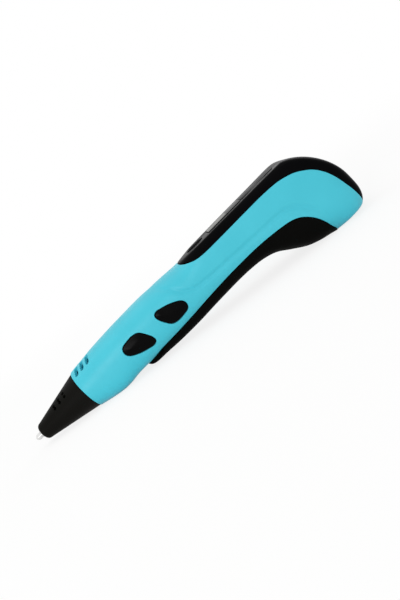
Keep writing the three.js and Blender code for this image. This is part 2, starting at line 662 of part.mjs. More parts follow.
const sideBoardOuter = sideSurface(LOAD_BUTTON.station, BUTTON_LEVEL) - SIDE_BOARD_ROOM;

function screwCuts() {
  const cuts = [];
  for (const [x, z] of screwPlaces) {
    const seat = sideSurface(x, z) - SCREW_HEAD_HEIGHT - CLEARANCE;
    const hole = SCREW_RADIUS + CLEARANCE;
    const tip = seat - SCREW_LENGTH - CLEARANCE;
    const top = TAIL_HALF_WIDTH + OVERRUN;
    cuts.push(bar('y', hole, top - tip, [x, (top + tip) / 2, z], 10));
    cuts.push(bar('y', SCREW_HEAD_RADIUS + CLEARANCE, top - seat, [x, (top + seat) / 2, z], 16));
  }
  return joined(...cuts);
}

// Shelves that carry the fan, ribs that hold the drive carrier and a post for the side board.
function shellSupports() {
  const half = FAN_SIZE / 2;
  const inner = half - SHELF_REACH;
  const shelf = (side) => box(FAN_STATION - half, FAN_STATION + half,
    side > 0 ? inner : -BARREL_RADIUS - OVERRUN, side > 0 ? BARREL_RADIUS + OVERRUN : -inner,
    FAN_BASE - CLEARANCE - SHELF_THICKNESS, FAN_BASE - CLEARANCE);
  const reach = CARRIER_WIDTH / 2 + CLEARANCE;
  const ribFront = GEAR_STATION - BUSH_SPACING / 2;
  const ribs = [-1, 1].flatMap((side) => [0, BUSH_SPACING].map((back) => box(
    ribFront + back - CARRIER_WALL / 2, ribFront + back + CARRIER_WALL / 2,
    side > 0 ? reach : -2 * TAIL_HALF_WIDTH, side > 0 ? 2 * TAIL_HALF_WIDTH : -reach,
    -BARREL_RADIUS / 2, BARREL_RADIUS / 4)));
  const postX = (LOAD_BUTTON.station + UNLOAD_BUTTON.station) / 2;
  const postEnd = sideBoardOuter + CLEARANCE;
  const post = bar('y', POST_RADIUS, 2 * TAIL_HALF_WIDTH,
    [postX, -postEnd - TAIL_HALF_WIDTH, LOAD_BUTTON.height], 8);
  return joined(shelf(-1), shelf(1), ...ribs, post);
}

// The two halves of the coloured housing.
function shells() {
  const skin = trimmedOuter.subtract(trimmedInner);
  const room = trimmedOuter.intersect(bodyForm(WALL / 2, 0, INNER_RING_SHARES, INNER_RING_POINTS));
  const inside = joined(bosses(), shellSupports()).intersect(room);
  const housing = skin.add(inside)
    .subtract(capRegion(0))
    .subtract(keelRegion(0))
    .subtract(ventSlots())
    .subtract(screwCuts())
    .subtract(bar('x', BUSH_RADIUS + CLEARANCE, PEN_LENGTH / 2))
    .subtract(tailHoles())
    .subtract(drivePocket());
  const left = housing.intersect(leftHalf)
    .subtract(petalPrism(LOAD_BUTTON, RUNNING_CLEARANCE))
    .subtract(petalPrism(UNLOAD_BUTTON, RUNNING_CLEARANCE));
  addPiece('left_shell', left, MATERIALS.shell);
  addPiece('right_shell', housing.intersect(rightHalf), MATERIALS.shell);
}

// Room for the foot of the drive carrier between the lower edges of the shells.
function drivePocket() {
  const half = CARRIER_WIDTH / 2 + CLEARANCE;
  return box(GEAR_STATION - BUSH_SPACING / 2 - CARRIER_PLATE, cradleEnd + CLEARANCE,
    -half, half, -2 * BARREL_RADIUS, -driveDrop);
}

// Openings in the end face for the filament inlet and the power socket.
function tailHoles() {
  const inlet = bar('z', INLET_BUSH_RADIUS + CLEARANCE, 4 * WALL,
    [INLET_STATION, 0, -END_FACE_DROP]);
  const socket = bar('z', SOCKET_RADIUS + CLEARANCE, 4 * WALL,
    [SOCKET_STATION, 0, -END_FACE_DROP]);
  return inlet.add(socket);
}

// A rounded rectangle in plan, centred on a station.
function roundedPlan(station, length, width, corner) {
  const steps = 3;
  const points = [];
  for (const [sideX, sideY, start] of [[1, 1, 0], [-1, 1, 1], [-1, -1, 2], [1, -1, 3]]) {
    for (let i = 0; i <= steps; i += 1) {
      const angle = (start + i / steps) * (Math.PI / 2);
      points.push([
        station + sideX * (length / 2 - corner) + corner * Math.cos(angle),
        sideY * (width / 2 - corner) + corner * Math.sin(angle),
      ]);
    }
  }
  return points;
}

// Outline of the mode button: an oval with a sharper front end, grown by a margin.
function modePlan(margin) {
  const steps = 20;
  return Array.from({ length: steps }, (_, i) => {
    const angle = (i / steps) * 2 * Math.PI;
    const taper = 1 - MODE_BUTTON_TAPER_SHARE * (1 - Math.cos(angle));
    return [
      MODE_BUTTON_STATION + (MODE_BUTTON_LENGTH / 2 + margin) * Math.cos(angle),
      (MODE_BUTTON_WIDTH / 2 + margin) * Math.sin(angle) * taper,
    ];
  });
}

// The glossy cap over the display: a curved wall with a flat top and openings for the controls.
const capFloor = CAP_FLAT_HEIGHT - CAP_WALL;
const rockerPivot = capFloor - ROCKER_LUG_RADIUS;
function displayCap() {
  const above = box(CAP_FLAT_FRONT, PEN_LENGTH, -2 * TAIL_HALF_WIDTH, 2 * TAIL_HALF_WIDTH,
    CAP_FLAT_HEIGHT, 3 * BARREL_RADIUS);
  const hollow = bodyForm(WALL, 0, INNER_RING_SHARES, INNER_RING_POINTS)
    .intersect(box(0, PEN_LENGTH, -2 * TAIL_HALF_WIDTH, 2 * TAIL_HALF_WIDTH,
      -4 * TAIL_HALF_WIDTH, capFloor));
  const through = [-BARREL_RADIUS, 2 * BARREL_RADIUS];
  const modeHole = topPrism(modePlan(RUNNING_CLEARANCE), ...through);
  const windowSeat = topPrism(
    roundedPlan(WINDOW_STATION, WINDOW_LENGTH + CLEARANCE, WINDOW_WIDTH + CLEARANCE,
      WINDOW_CORNER),
    CAP_FLAT_HEIGHT + WINDOW_PROUD - WINDOW_THICKNESS - CLEARANCE / 2, 2 * BARREL_RADIUS);
  const windowHole = topPrism(
    roundedPlan(WINDOW_STATION, WINDOW_LENGTH - 2 * WINDOW_LEDGE,
      WINDOW_WIDTH - 2 * WINDOW_LEDGE, WINDOW_CORNER / 2), ...through);
  const rockerHole = topPrism(
    roundedPlan(ROCKER_STATION, ROCKER_LENGTH + 2 * CLEARANCE,
      ROCKER_WIDTH + 2 * RUNNING_CLEARANCE, WINDOW_CORNER), ...through);
  const lugY = ROCKER_WIDTH / 2 + RUNNING_CLEARANCE + ROCKER_LUG / 2;
  const lugs = [-1, 1].map((side) => box(
    ROCKER_STATION - ROCKER_LUG_RADIUS, ROCKER_STATION + ROCKER_LUG_RADIUS,
    side * lugY - ROCKER_LUG / 2, side * lugY + ROCKER_LUG / 2,
    rockerPivot - ROCKER_LUG_RADIUS, capFloor + CAP_WALL / 2));
  const pinHole = bar('y', ROCKER_PIN_RADIUS, ROCKER_WIDTH + 4 * ROCKER_LUG,
    [ROCKER_STATION, 0, rockerPivot], 10);
  const posts = [MAIN_BOARD_FRONT, MAIN_BOARD_BACK].flatMap((x, end) =>
    [-1, 1].map((side) => bar('z', POST_RADIUS, capFloor + CAP_WALL / 2 - MAIN_BOARD_TOP - SEAM, [
      x + (end ? -1 : 1) * 2 * POST_RADIUS,
      side * (MAIN_BOARD_WIDTH / 2 - 1.5 * POST_RADIUS),
      (capFloor + CAP_WALL / 2 + MAIN_BOARD_TOP + SEAM) / 2,
    ], 8)));
  const cap = trimmedOuter.subtract(above).subtract(hollow).intersect(capRegion(SEAM))
    .subtract(windowSeat)
    .subtract(windowHole)
    .subtract(rockerHole)
    .subtract(modeHole);
  addPiece('display_cap', joined(cap, ...lugs, ...posts).subtract(pinHole),
    MATERIALS.glossBlack);
}

// The dark grip cover along the underside, with its bulge under the tail.
function gripKeel() {
  const outer = keelForm(0).intersect(keelRegion(SEAM)).subtract(belowTable());
  const hollow = keelForm(WALL).intersect(box(
    NOSE_JOINT, KEEL_HOLLOW_BACK, -2 * TAIL_HALF_WIDTH, 2 * TAIL_HALF_WIDTH,
    -4 * TAIL_HALF_WIDTH, BARREL_RADIUS));
  addPiece('grip_keel', outer.subtract(hollow).subtract(belowEndFace()), MATERIALS.softBlack);
}

// The heat-shielding nose cone, with a spigot that plugs into the shells.
function noseCone() {
  const slope = (NOSE_JOINT_RADIUS - CONE_TIP_RADIUS) / (NOSE_JOINT - CONE_TIP);
  const roundSteps = 3;
  const round = Array.from({ length: roundSteps + 1 }, (_, i) => {
    const angle = (i / roundSteps) * (Math.PI / 2);
    return [
      CONE_TIP + CONE_TIP_ROUND * (1 - Math.sin(angle)),
      CONE_TIP_RADIUS - CONE_TIP_ROUND * (1 - Math.cos(angle)),
    ];
  });
  const spigotRadius = NOSE_JOINT_RADIUS - WALL - CLEARANCE;
  const front = NOSE_JOINT - SEAM;
  const spigotEnd = NOSE_JOINT + SPIGOT_LENGTH;
  const innerFront = CONE_TIP + 2 * CONE_WALL;
  const innerRadius = (x) =>
    CONE_TIP_RADIUS + slope * (x - CONE_TIP) - CONE_WALL * Math.hypot(1, slope);
  const outline = [
    [innerFront, CONE_MOUTH_RADIUS],
    [innerFront, innerRadius(innerFront)],
    [front - CONE_WALL, spigotRadius - SPIGOT_WALL],
    [spigotEnd, spigotRadius - SPIGOT_WALL],
    [spigotEnd, spigotRadius],
    [front, spigotRadius],
    [front, NOSE_JOINT_RADIUS],
    ...round,
    [CONE_TIP, CONE_MOUTH_RADIUS],
    [innerFront, CONE_MOUTH_RADIUS],
  ];
  let cone = turned(outline, 24);
  for (const share of CONE_VENT_SHARES) {
    const x = CONE_TIP + share * (NOSE_JOINT - CONE_TIP);
    for (const angle of CONE_VENT_ANGLES) {
      const geometry = new THREE.CylinderGeometry(
        CONE_VENT_RADIUS, CONE_VENT_RADIUS, NOSE_JOINT_RADIUS, 6);
      geometry.rotateX(Math.PI / 2);
      geometry.translate(x, 0, NOSE_JOINT_RADIUS / 2 + HEATER_RADIUS);
      geometry.rotateX(-angle);
      cone = cone.subtract(toSolid(geometry));
    }
  }
  addPiece('nose_cone', cone, MATERIALS.noseBlack);
}

const nozzleBack = NOZZLE_SHANK + NOZZLE_FLANGE;
const heaterBack = NOSE_JOINT - HOLDER_COLLAR_LENGTH - CLEARANCE;

// The ceramic nozzle, its heater with a sleeve and a sensor, and the holder behind them.
function hotEnd() {
  addPiece('nozzle', turned([
    [0, NOZZLE_OUTLET_RADIUS],
    [NOZZLE_TAPER, NOZZLE_OUTLET_RADIUS],
    [NOZZLE_TAPER * 2, FILAMENT_BORE_RADIUS],
    [nozzleBack, FILAMENT_BORE_RADIUS],
    [nozzleBack, NOZZLE_FLANGE_RADIUS],
    [NOZZLE_SHANK, NOZZLE_FLANGE_RADIUS],
    [NOZZLE_SHANK, NOZZLE_RADIUS],
    [NOZZLE_TAPER, NOZZLE_RADIUS],
    [0, NOZZLE_TIP_RADIUS],
    [0, NOZZLE_OUTLET_RADIUS],
  ]), MATERIALS.ceramic);
  const tube = (from, to, inner, outer) => turned(
    [[from, inner], [to, inner], [to, outer], [from, outer], [from, inner]], 12);
  const heaterFront = nozzleBack + CLEARANCE / 2;
  const heaterMiddle = (nozzleBack + heaterBack) / 2;
  const sleeveInner = HEATER_RADIUS + RUNNING_CLEARANCE;
  addPiece('heater_tube', tube(heaterFront, heaterBack, FILAMENT_BORE_RADIUS, HEATER_RADIUS),
    MATERIALS.ceramic);
  const sleeveFront = heaterMiddle + THERMISTOR_LENGTH;
  addPiece('heat_sleeve', tube(sleeveFront, heaterBack, sleeveInner, sleeveInner + SLEEVE_WALL),
    MATERIALS.amber);
  addPiece('thermistor', bar('x', THERMISTOR_RADIUS, THERMISTOR_LENGTH, [0, 0, 0], 10),
    MATERIALS.amber, [
      heaterMiddle, HEATER_RADIUS + THERMISTOR_RADIUS + RUNNING_CLEARANCE, 0]);
  const holderFront = NOSE_JOINT + SPIGOT_LENGTH + CLEARANCE;
  const holderRadius = NOSE_JOINT_RADIUS - WALL - CLEARANCE;
  const collarFront = heaterBack + CLEARANCE;
  addPiece('hot_end_holder', turned([
    [collarFront, FILAMENT_BORE_RADIUS],
    [holderFront + HOLDER_THICKNESS, FILAMENT_BORE_RADIUS],
    [holderFront + HOLDER_THICKNESS, holderRadius],
    [holderFront, holderRadius],
    [holderFront, HOLDER_COLLAR_RADIUS],
    [collarFront, HOLDER_COLLAR_RADIUS],
    [collarFront, FILAMENT_BORE_RADIUS],
  ]), MATERIALS.nylon);
}

const holderBack = NOSE_JOINT + SPIGOT_LENGTH + CLEARANCE + HOLDER_THICKNESS;
const spindleFront = GEAR_STATION - SPINDLE_LENGTH / 2;
const spindleBack = GEAR_STATION + SPINDLE_LENGTH / 2;

// The straight guide to the hot end, and the bent guide from the inlet to the drive.
function guides() {
  const front = holderBack + CLEARANCE;
  const length = spindleFront - CLEARANCE - front;
  const sleeve = bar('x', GUIDE_RADIUS, length, [0, 0, 0], 12)
    .subtract(bar('x', FILAMENT_BORE_RADIUS, length + OVERRUN, [0, 0, 0], 10));
  addPiece('front_guide_tube', sleeve, MATERIALS.ptfe, [front + length / 2, 0, 0]);
  const start = spindleBack + CLEARANCE;
  const tube = bendTube(start, GUIDE_RADIUS).subtract(
    bendTube(start - OVERRUN, FILAMENT_BORE_RADIUS, OVERRUN));
  addPiece('rear_guide_tube', tube, MATERIALS.ptfe);
}

// The bent guide's form: straight along the axis, then a quarter turn down to the inlet.
function bendTube(start, radius, past = 0) {
  const bendStart = INLET_STATION - GUIDE_BEND_RADIUS;
  const end = INLET_FLANGE - END_FACE_DROP + INLET_BUSH_LENGTH + CLEARANCE - past;
  const points = 8;
  const ring = (centre, tilt) => Array.from({ length: points }, (_, i) => {
    const angle = (i / points) * 2 * Math.PI;
    const up = radius * Math.sin(angle);
    return new THREE.Vector3(
      centre[0] + up * Math.sin(tilt), radius * Math.cos(angle), centre[1] + up * Math.cos(tilt));
  });
  const rings = [ring([start, 0], 0)];
  const steps = 6;
  for (let i = 0; i <= steps; i += 1) {
    const angle = (i / steps) * (Math.PI / 2);
    rings.push(ring([
      bendStart + GUIDE_BEND_RADIUS * Math.sin(angle),
      -GUIDE_BEND_RADIUS * (1 - Math.cos(angle)),
    ], angle));
  }
  rings.push(ring([INLET_STATION, end], Math.PI / 2));
  return loft(rings);
}

// The inlet bush and the power socket in the tail's end face.
function tailFittings() {
  const bush = (from, to, radius) => bar('z', radius, to - from, [0, 0, (from + to) / 2]);
  const inlet = joined(
    bush(SEAM, INLET_BUSH_LENGTH, INLET_BUSH_RADIUS),
    bush(WALL + CLEARANCE, WALL + CLEARANCE + INLET_FLANGE, INLET_FLANGE_RADIUS))
    .subtract(bar('z', INLET_BORE_RADIUS, 4 * INLET_BUSH_LENGTH));
  addPiece('filament_inlet', inlet, MATERIALS.softBlack, [INLET_STATION, 0, -END_FACE_DROP]);
  const body = joined(
    bush(SEAM, SOCKET_DEPTH, SOCKET_RADIUS),
    bush(WALL + CLEARANCE, WALL + CLEARANCE + SOCKET_LIP, SOCKET_RADIUS + CLEARANCE));
  const hole = bush(-OVERRUN, SOCKET_HOLE_DEPTH, SOCKET_RADIUS - SOCKET_WALL);
  const pin = bush(SOCKET_LIP, SOCKET_HOLE_DEPTH + CLEARANCE, SOCKET_PIN_RADIUS);
  addPiece('power_socket', body.subtract(hole).add(pin), MATERIALS.softBlack,
    [SOCKET_STATION, 0, -END_FACE_DROP]);
}

// Outline of a spur gear: tapered teeth between the root and tip circles.
function gearOutline(teeth, turn) {
  const pitch = (GEAR_MODULE * teeth) / 2;
  const tip = pitch + GEAR_MODULE - GEAR_CLEARANCE;
  const root = pitch - TOOTH_DEPTH_SHARE * GEAR_MODULE;
  const slack = GEAR_CLEARANCE / pitch / 2;
  const step = (2 * Math.PI) / teeth;
  const points = [];
  for (let i = 0; i < teeth; i += 1) {
    const middle = turn + i * step;
    for (const [radius, share] of [[root, -TOOTH_FOOT_SHARE], [tip, -TOOTH_TIP_SHARE],
      [tip, TOOTH_TIP_SHARE], [root, TOOTH_FOOT_SHARE]]) {
      const angle = middle + share * step - Math.sign(share) * slack;
      points.push(new THREE.Vector2(radius * Math.cos(angle), radius * Math.sin(angle)));
    }
  }
  return points;
}

// A toothed wheel about X, from a station 0 to its face width.
function gearWheel(teeth, face, turn) {
  const shape = new THREE.Shape(gearOutline(teeth, turn));
  const geometry = new THREE.ExtrudeGeometry(shape, { depth: face, bevelEnabled: false });
  geometry.rotateX(Math.PI / 2);
  geometry.rotateZ(Math.PI / 2);
  geometry.translate(-face / 2, 0, 0);
  return toSolid(geometry);
}

const driveDrop = (GEAR_MODULE * (PINION_TEETH + SPINDLE_TEETH)) / 2;
const gearboxFront = GEAR_STATION + BUSH_SPACING / 2 + BUSH_LENGTH;
const cradleEnd = gearboxFront + GEARBOX_LENGTH + MOTOR_LENGTH / 2;

// The gear motor, its output shaft with the pinion, and the hollow spindle that drives filament.
function filamentDrive() {
  const drive = new THREE.Group();
  drive.position.set(gearboxFront, 0, -driveDrop);
  pen.add(drive);
  const plateGap = GEARBOX_LENGTH / 3;
  const plate = (from) => box(from, from + plateGap / 3, -GEARBOX_WIDTH / 2, GEARBOX_WIDTH / 2,
    -GEARBOX_HEIGHT / 2, GEARBOX_HEIGHT / 2);
  const core = box(0, GEARBOX_LENGTH, -GEARBOX_WIDTH / 3, GEARBOX_WIDTH / 3,
    -GEARBOX_HEIGHT / 3, GEARBOX_HEIGHT / 3);
  const bearing = bar('x', SHAFT_RADIUS + RUNNING_CLEARANCE, GEARBOX_LENGTH, [0, 0, 0]);
  addPiece('gearbox', joined(plate(0), plate(plateGap * 4 / 3), plate(GEARBOX_LENGTH - plateGap / 3),
    core).subtract(bearing), MATERIALS.brass, [0, 0, 0], drive);
  const canRadius = GEARBOX_WIDTH / 2;
  const can = bar('x', canRadius, MOTOR_LENGTH, [0, 0, 0], 24).intersect(
    box(-MOTOR_LENGTH, MOTOR_LENGTH, -canRadius, canRadius,
      -GEARBOX_HEIGHT / 2, GEARBOX_HEIGHT / 2));
  addPiece('motor_can', can, MATERIALS.steel,
    [GEARBOX_LENGTH + SEAM + MOTOR_LENGTH / 2, 0, 0], drive);
  const cap = bar('x', MOTOR_CAP_RADIUS, MOTOR_CAP).intersect(
    box(-MOTOR_CAP, MOTOR_CAP, -canRadius, canRadius,
      -MOTOR_CAP_HEIGHT / 2, MOTOR_CAP_HEIGHT / 2));
  addPiece('motor_end_cap', cap, MATERIALS.softBlack,
    [GEARBOX_LENGTH + MOTOR_LENGTH + 2 * SEAM + MOTOR_CAP / 2, 0, 0], drive);

  const shaft = bar('x', SHAFT_RADIUS, SHAFT_LENGTH + GEARBOX_LENGTH / 3)
    .subtract(box(-2 * SHAFT_LENGTH, 2 * SHAFT_LENGTH, -2 * SHAFT_RADIUS, 2 * SHAFT_RADIUS,
      SHAFT_RADIUS - SHAFT_FLAT, 2 * SHAFT_RADIUS));
  const shaftMiddle = (GEARBOX_LENGTH / 3 - SHAFT_LENGTH) / 2;
  addPiece('output_shaft', shaft, MATERIALS.steel, [shaftMiddle, 0, 0], drive);
  const boreRadius = SHAFT_RADIUS + SEAM / 3;
  const bore = bar('x', boreRadius, 3 * PINION_FACE)
    .subtract(box(-2 * SHAFT_LENGTH, 2 * SHAFT_LENGTH, -2 * SHAFT_RADIUS, 2 * SHAFT_RADIUS,
      boreRadius - SHAFT_FLAT, 2 * SHAFT_RADIUS));
  addPiece('drive_pinion', gearWheel(PINION_TEETH, PINION_FACE, Math.PI / 2).subtract(bore),
    MATERIALS.brass, [GEAR_STATION - gearboxFront, 0, 0], drive);

  const wheel = gearWheel(SPINDLE_TEETH, SPINDLE_FACE, Math.PI / SPINDLE_TEETH + Math.PI / 2);
  const hub = bar('x', SPINDLE_HUB_RADIUS, SPINDLE_LENGTH);
  const spindle = wheel.add(hub).subtract(
    bar('x', FILAMENT_BORE_RADIUS, 2 * SPINDLE_LENGTH, [0, 0, 0], 12));
  addPiece('feed_spindle', spindle, MATERIALS.brass, [GEAR_STATION, 0, 0]);
  const bushing = bar('x', BUSH_RADIUS, BUSH_LENGTH).subtract(
    bar('x', SPINDLE_HUB_RADIUS + RUNNING_CLEARANCE, 2 * BUSH_LENGTH));
  addPiece('front_bush', bushing, MATERIALS.brass, [GEAR_STATION - BUSH_SPACING / 2, 0, 0]);
  addPiece('rear_bush', bushing, MATERIALS.brass, [GEAR_STATION + BUSH_SPACING / 2, 0, 0]);
  driveCarrier();
}

// The moulded carrier: two bearing plates on a floor, with a cradle for the gear motor.
function driveCarrier() {
  const half = CARRIER_WIDTH / 2;
  const floor = -driveDrop - GEARBOX_HEIGHT / 2 - CLEARANCE / 2;
  const top = BUSH_RADIUS + CARRIER_WALL;
  const plateShape = (x) => {
    const outline = [];
    const steps = 6;
    for (let i = 0; i <= steps; i += 1) {
      const angle = (i / steps) * Math.PI;
      outline.push([top * Math.cos(angle), top * Math.sin(angle)]);
    }
    outline.push([-half, -driveDrop / 2], [-half, floor], [half, floor], [half, -driveDrop / 2]);
    const shape = new THREE.Shape(outline.map(([y, z]) => new THREE.Vector2(y, z)));
    const geometry = new THREE.ExtrudeGeometry(shape,
      { depth: CARRIER_PLATE, bevelEnabled: false });
    geometry.rotateX(Math.PI / 2);
    geometry.rotateZ(Math.PI / 2);
    geometry.translate(x - CARRIER_PLATE / 2, 0, 0);
    return toSolid(geometry);
  };
  const front = GEAR_STATION - BUSH_SPACING / 2;
  const back = GEAR_STATION + BUSH_SPACING / 2;
  const cradleTop = -driveDrop;
  const cradle = box(back, cradleEnd, -half, half, floor - CARRIER_WALL, cradleTop)
    .subtract(box(back + CARRIER_PLATE / 2, cradleEnd + OVERRUN,
      -GEARBOX_WIDTH / 2 - CLEARANCE, GEARBOX_WIDTH / 2 + CLEARANCE, floor, OVERRUN));
  const carrier = joined(plateShape(front), plateShape(back),
    box(front, back, -half, half, floor - CARRIER_WALL, floor + CARRIER_WALL / 2), cradle)
    .subtract(bar('x', BUSH_RADIUS + CLEARANCE / 2, 2 * PEN_LENGTH))
    .subtract(bar('x', SHAFT_RADIUS + 2 * CLEARANCE, 4 * BUSH_SPACING,
      [GEAR_STATION, 0, -driveDrop]));
  addPiece('drive_carrier', carrier.intersect(carrierRoom()), MATERIALS.nylon);
}

// The space inside the housing and the keel, less a clearance.
function carrierRoom() {
  const inside = bodyForm(WALL + CLEARANCE, 0, INNER_RING_SHARES, INNER_RING_POINTS);
  return inside.add(keelForm(WALL + CLEARANCE));
}

// The small cooling fan under the vent slots.
function coolingFan() {
  const fan = new THREE.Group();
  fan.position.set(FAN_STATION, 0, FAN_BASE);
  pen.add(fan);
  const half = FAN_SIZE / 2;
  const motorHeight = FAN_PLATE + CLEARANCE;
  const bore = half - FAN_RIM;
  const frame = topPrism(roundedPlan(0, FAN_SIZE, FAN_SIZE, FAN_SPOKE_WIDTH), 0, FAN_THICKNESS)
    .subtract(bar('z', bore, 4 * FAN_THICKNESS, [0, 0, 0], 20));
  const spokes = [0, 1, 2].map((i) => {
    const geometry = new THREE.BoxGeometry(FAN_SPOKE_WIDTH, half, FAN_PLATE);
    geometry.translate(0, half / 2, FAN_PLATE / 2);
    geometry.rotateZ((i / 3) * 2 * Math.PI);
    return toSolid(geometry);
  });
  const plate = bar('z', FAN_HUB_RADIUS, FAN_PLATE, [0, 0, FAN_PLATE / 2]);
  addPiece('fan_frame', joined(frame, plate, ...spokes), MATERIALS.softBlack, [0, 0, 0], fan);
  const hubHeight = FAN_THICKNESS - motorHeight - CLEARANCE;
  const bladeHeight = hubHeight * FAN_BLADE_HEIGHT_SHARE;
  const bladeLength = bore - CLEARANCE - FAN_HUB_RADIUS / 2;
  const blades = Array.from({ length: FAN_BLADE_COUNT }, (_, i) => {
    const geometry = new THREE.BoxGeometry(bladeLength, bladeHeight / Math.sin(FAN_BLADE_PITCH),
      FAN_BLADE_THICKNESS);
    geometry.rotateX(FAN_BLADE_PITCH);
    geometry.translate(FAN_HUB_RADIUS / 2 + bladeLength / 2, 0, hubHeight / 2);
    geometry.rotateZ((i / FAN_BLADE_COUNT) * 2 * Math.PI);
    return toSolid(geometry);
  });
  const swept = bar('z', bore - CLEARANCE, hubHeight, [0, 0, hubHeight / 2], 20);
  const rotor = joined(bar('z', FAN_HUB_RADIUS, hubHeight, [0, 0, hubHeight / 2]),
    ...blades).intersect(swept);
  addPiece('fan_rotor', rotor, MATERIALS.softBlack, [0, 0, motorHeight], fan);
}

// A feed button: a crowned face that follows the housing, a hidden flange and a stem.
function feedButton(name, button) {
  const outer = bodyForm(-BUTTON_PROUD, 0, OUTER_RING_SHARES, OUTER_RING_POINTS);
  const under = bodyForm(WALL + CLEARANCE + BUTTON_FLANGE_THICKNESS, 0,
    INNER_RING_SHARES, INNER_RING_POINTS);
  const flangeTop = bodyForm(WALL + CLEARANCE, 0, INNER_RING_SHARES, INNER_RING_POINTS);
  const face = petalPrism(button, 0).intersect(outer).subtract(under);
  const flange = petalPrism(button, BUTTON_FLANGE).intersect(flangeTop).subtract(under);
  const stemEnd = switchTop + BUTTON_TRAVEL + CLEARANCE / 3;
  const wallHere = sideSurface(button.station, button.height) - WALL;
  const stem = bar('y', BUTTON_STEM_RADIUS, wallHere - stemEnd,
    [button.station, -(wallHere + stemEnd) / 2, button.height], 12);
  addPiece(name, joined(face, flange, stem), MATERIALS.glossBlack);
}

const switchTop = sideBoardOuter + SEAM / 2 + SWITCH_HEIGHT + PLUNGER_HEIGHT;

// A tactile switch with its plunger, standing on +Z.
function tactSwitch(bodyHeight) {
  return joined(
    box(-SWITCH_SIZE / 2, SWITCH_SIZE / 2, -SWITCH_SIZE / 2, SWITCH_SIZE / 2, 0, bodyHeight),
    bar('z', PLUNGER_RADIUS, PLUNGER_HEIGHT + bodyHeight / 2,
      [0, 0, bodyHeight + PLUNGER_HEIGHT / 2 - bodyHeight / 4], 8));
}

// The side board behind the feed buttons, with one switch for each.
function sideElectronics() {
  const middle = (LOAD_BUTTON.station + UNLOAD_BUTTON.station) / 2;
  const board = box(-SIDE_BOARD_LENGTH / 2, SIDE_BOARD_LENGTH / 2, 0, BOARD_THICKNESS,
    -SIDE_BOARD_HEIGHT / 2, SIDE_BOARD_HEIGHT / 2);
  addPiece('side_board', board, MATERIALS.board, [middle, -sideBoardOuter, LOAD_BUTTON.height]);
  for (const [name, button] of [['load_switch', LOAD_BUTTON], ['unload_switch', UNLOAD_BUTTON]]) {
    const mesh = addPiece(name, tactSwitch(SWITCH_HEIGHT), MATERIALS.steel,
      [button.station, -sideBoardOuter - SEAM / 2, button.height]);
    mesh.rotation.x = Math.PI / 2;
  }
}

// The main board under the cap, with the display module and the cap controls' switches.
function mainElectronics() {
  const board = box(0, MAIN_BOARD_BACK - MAIN_BOARD_FRONT,
    -MAIN_BOARD_WIDTH / 2, MAIN_BOARD_WIDTH / 2, -BOARD_THICKNESS, 0);
  addPiece('main_board', board, MATERIALS.board, [MAIN_BOARD_FRONT, 0, MAIN_BOARD_TOP]);
  const onBoard = MAIN_BOARD_TOP + SEAM / 2;
  const moduleTop = CAP_FLAT_HEIGHT + WINDOW_PROUD - WINDOW_THICKNESS - CLEARANCE / 2 - CAP_WALL;
  const [halfLength, halfWidth] = [WINDOW_LENGTH / 2 - WINDOW_LEDGE, WINDOW_WIDTH / 2];
  const frame = box(-halfLength, halfLength, -halfWidth, halfWidth, 0, moduleTop - onBoard);
  const pane = box(-halfLength + WINDOW_LEDGE, halfLength - WINDOW_LEDGE,
    -halfWidth + WINDOW_LEDGE, halfWidth - WINDOW_LEDGE,
    moduleTop - onBoard - WINDOW_LEDGE / 2, moduleTop);
  addPiece('display_module', frame.subtract(pane), MATERIALS.steel,
    [WINDOW_STATION, 0, onBoard]);
  const modeBottom = capFloor - BUTTON_FLANGE_THICKNESS - CLEARANCE;
  const modeSwitch = modeBottom - BUTTON_TRAVEL - CLEARANCE / 3 - PLUNGER_HEIGHT - onBoard;
  addPiece('mode_switch', tactSwitch(modeSwitch), MATERIALS.steel,
    [MODE_BUTTON_STATION, 0, onBoard]);
  const rockerBottom = CAP_FLAT_HEIGHT + ROCKER_PROUD - ROCKER_THICKNESS;
  const drop = (ROCKER_LENGTH / 2) * Math.sin(ROCKER_TILT);
  const rockerSwitch = rockerBottom - drop - CLEARANCE / 3 - PLUNGER_HEIGHT - onBoard;
  const switchPlace = (ROCKER_LENGTH / 2 + ROCKER_LUG_RADIUS) / 2;
  for (const [name, side] of [['minus_switch', -1], ['plus_switch', 1]]) {
    addPiece(name, tactSwitch(rockerSwitch), MATERIALS.steel,
      [ROCKER_STATION + side * switchPlace, 0, onBoard]);
  }
}

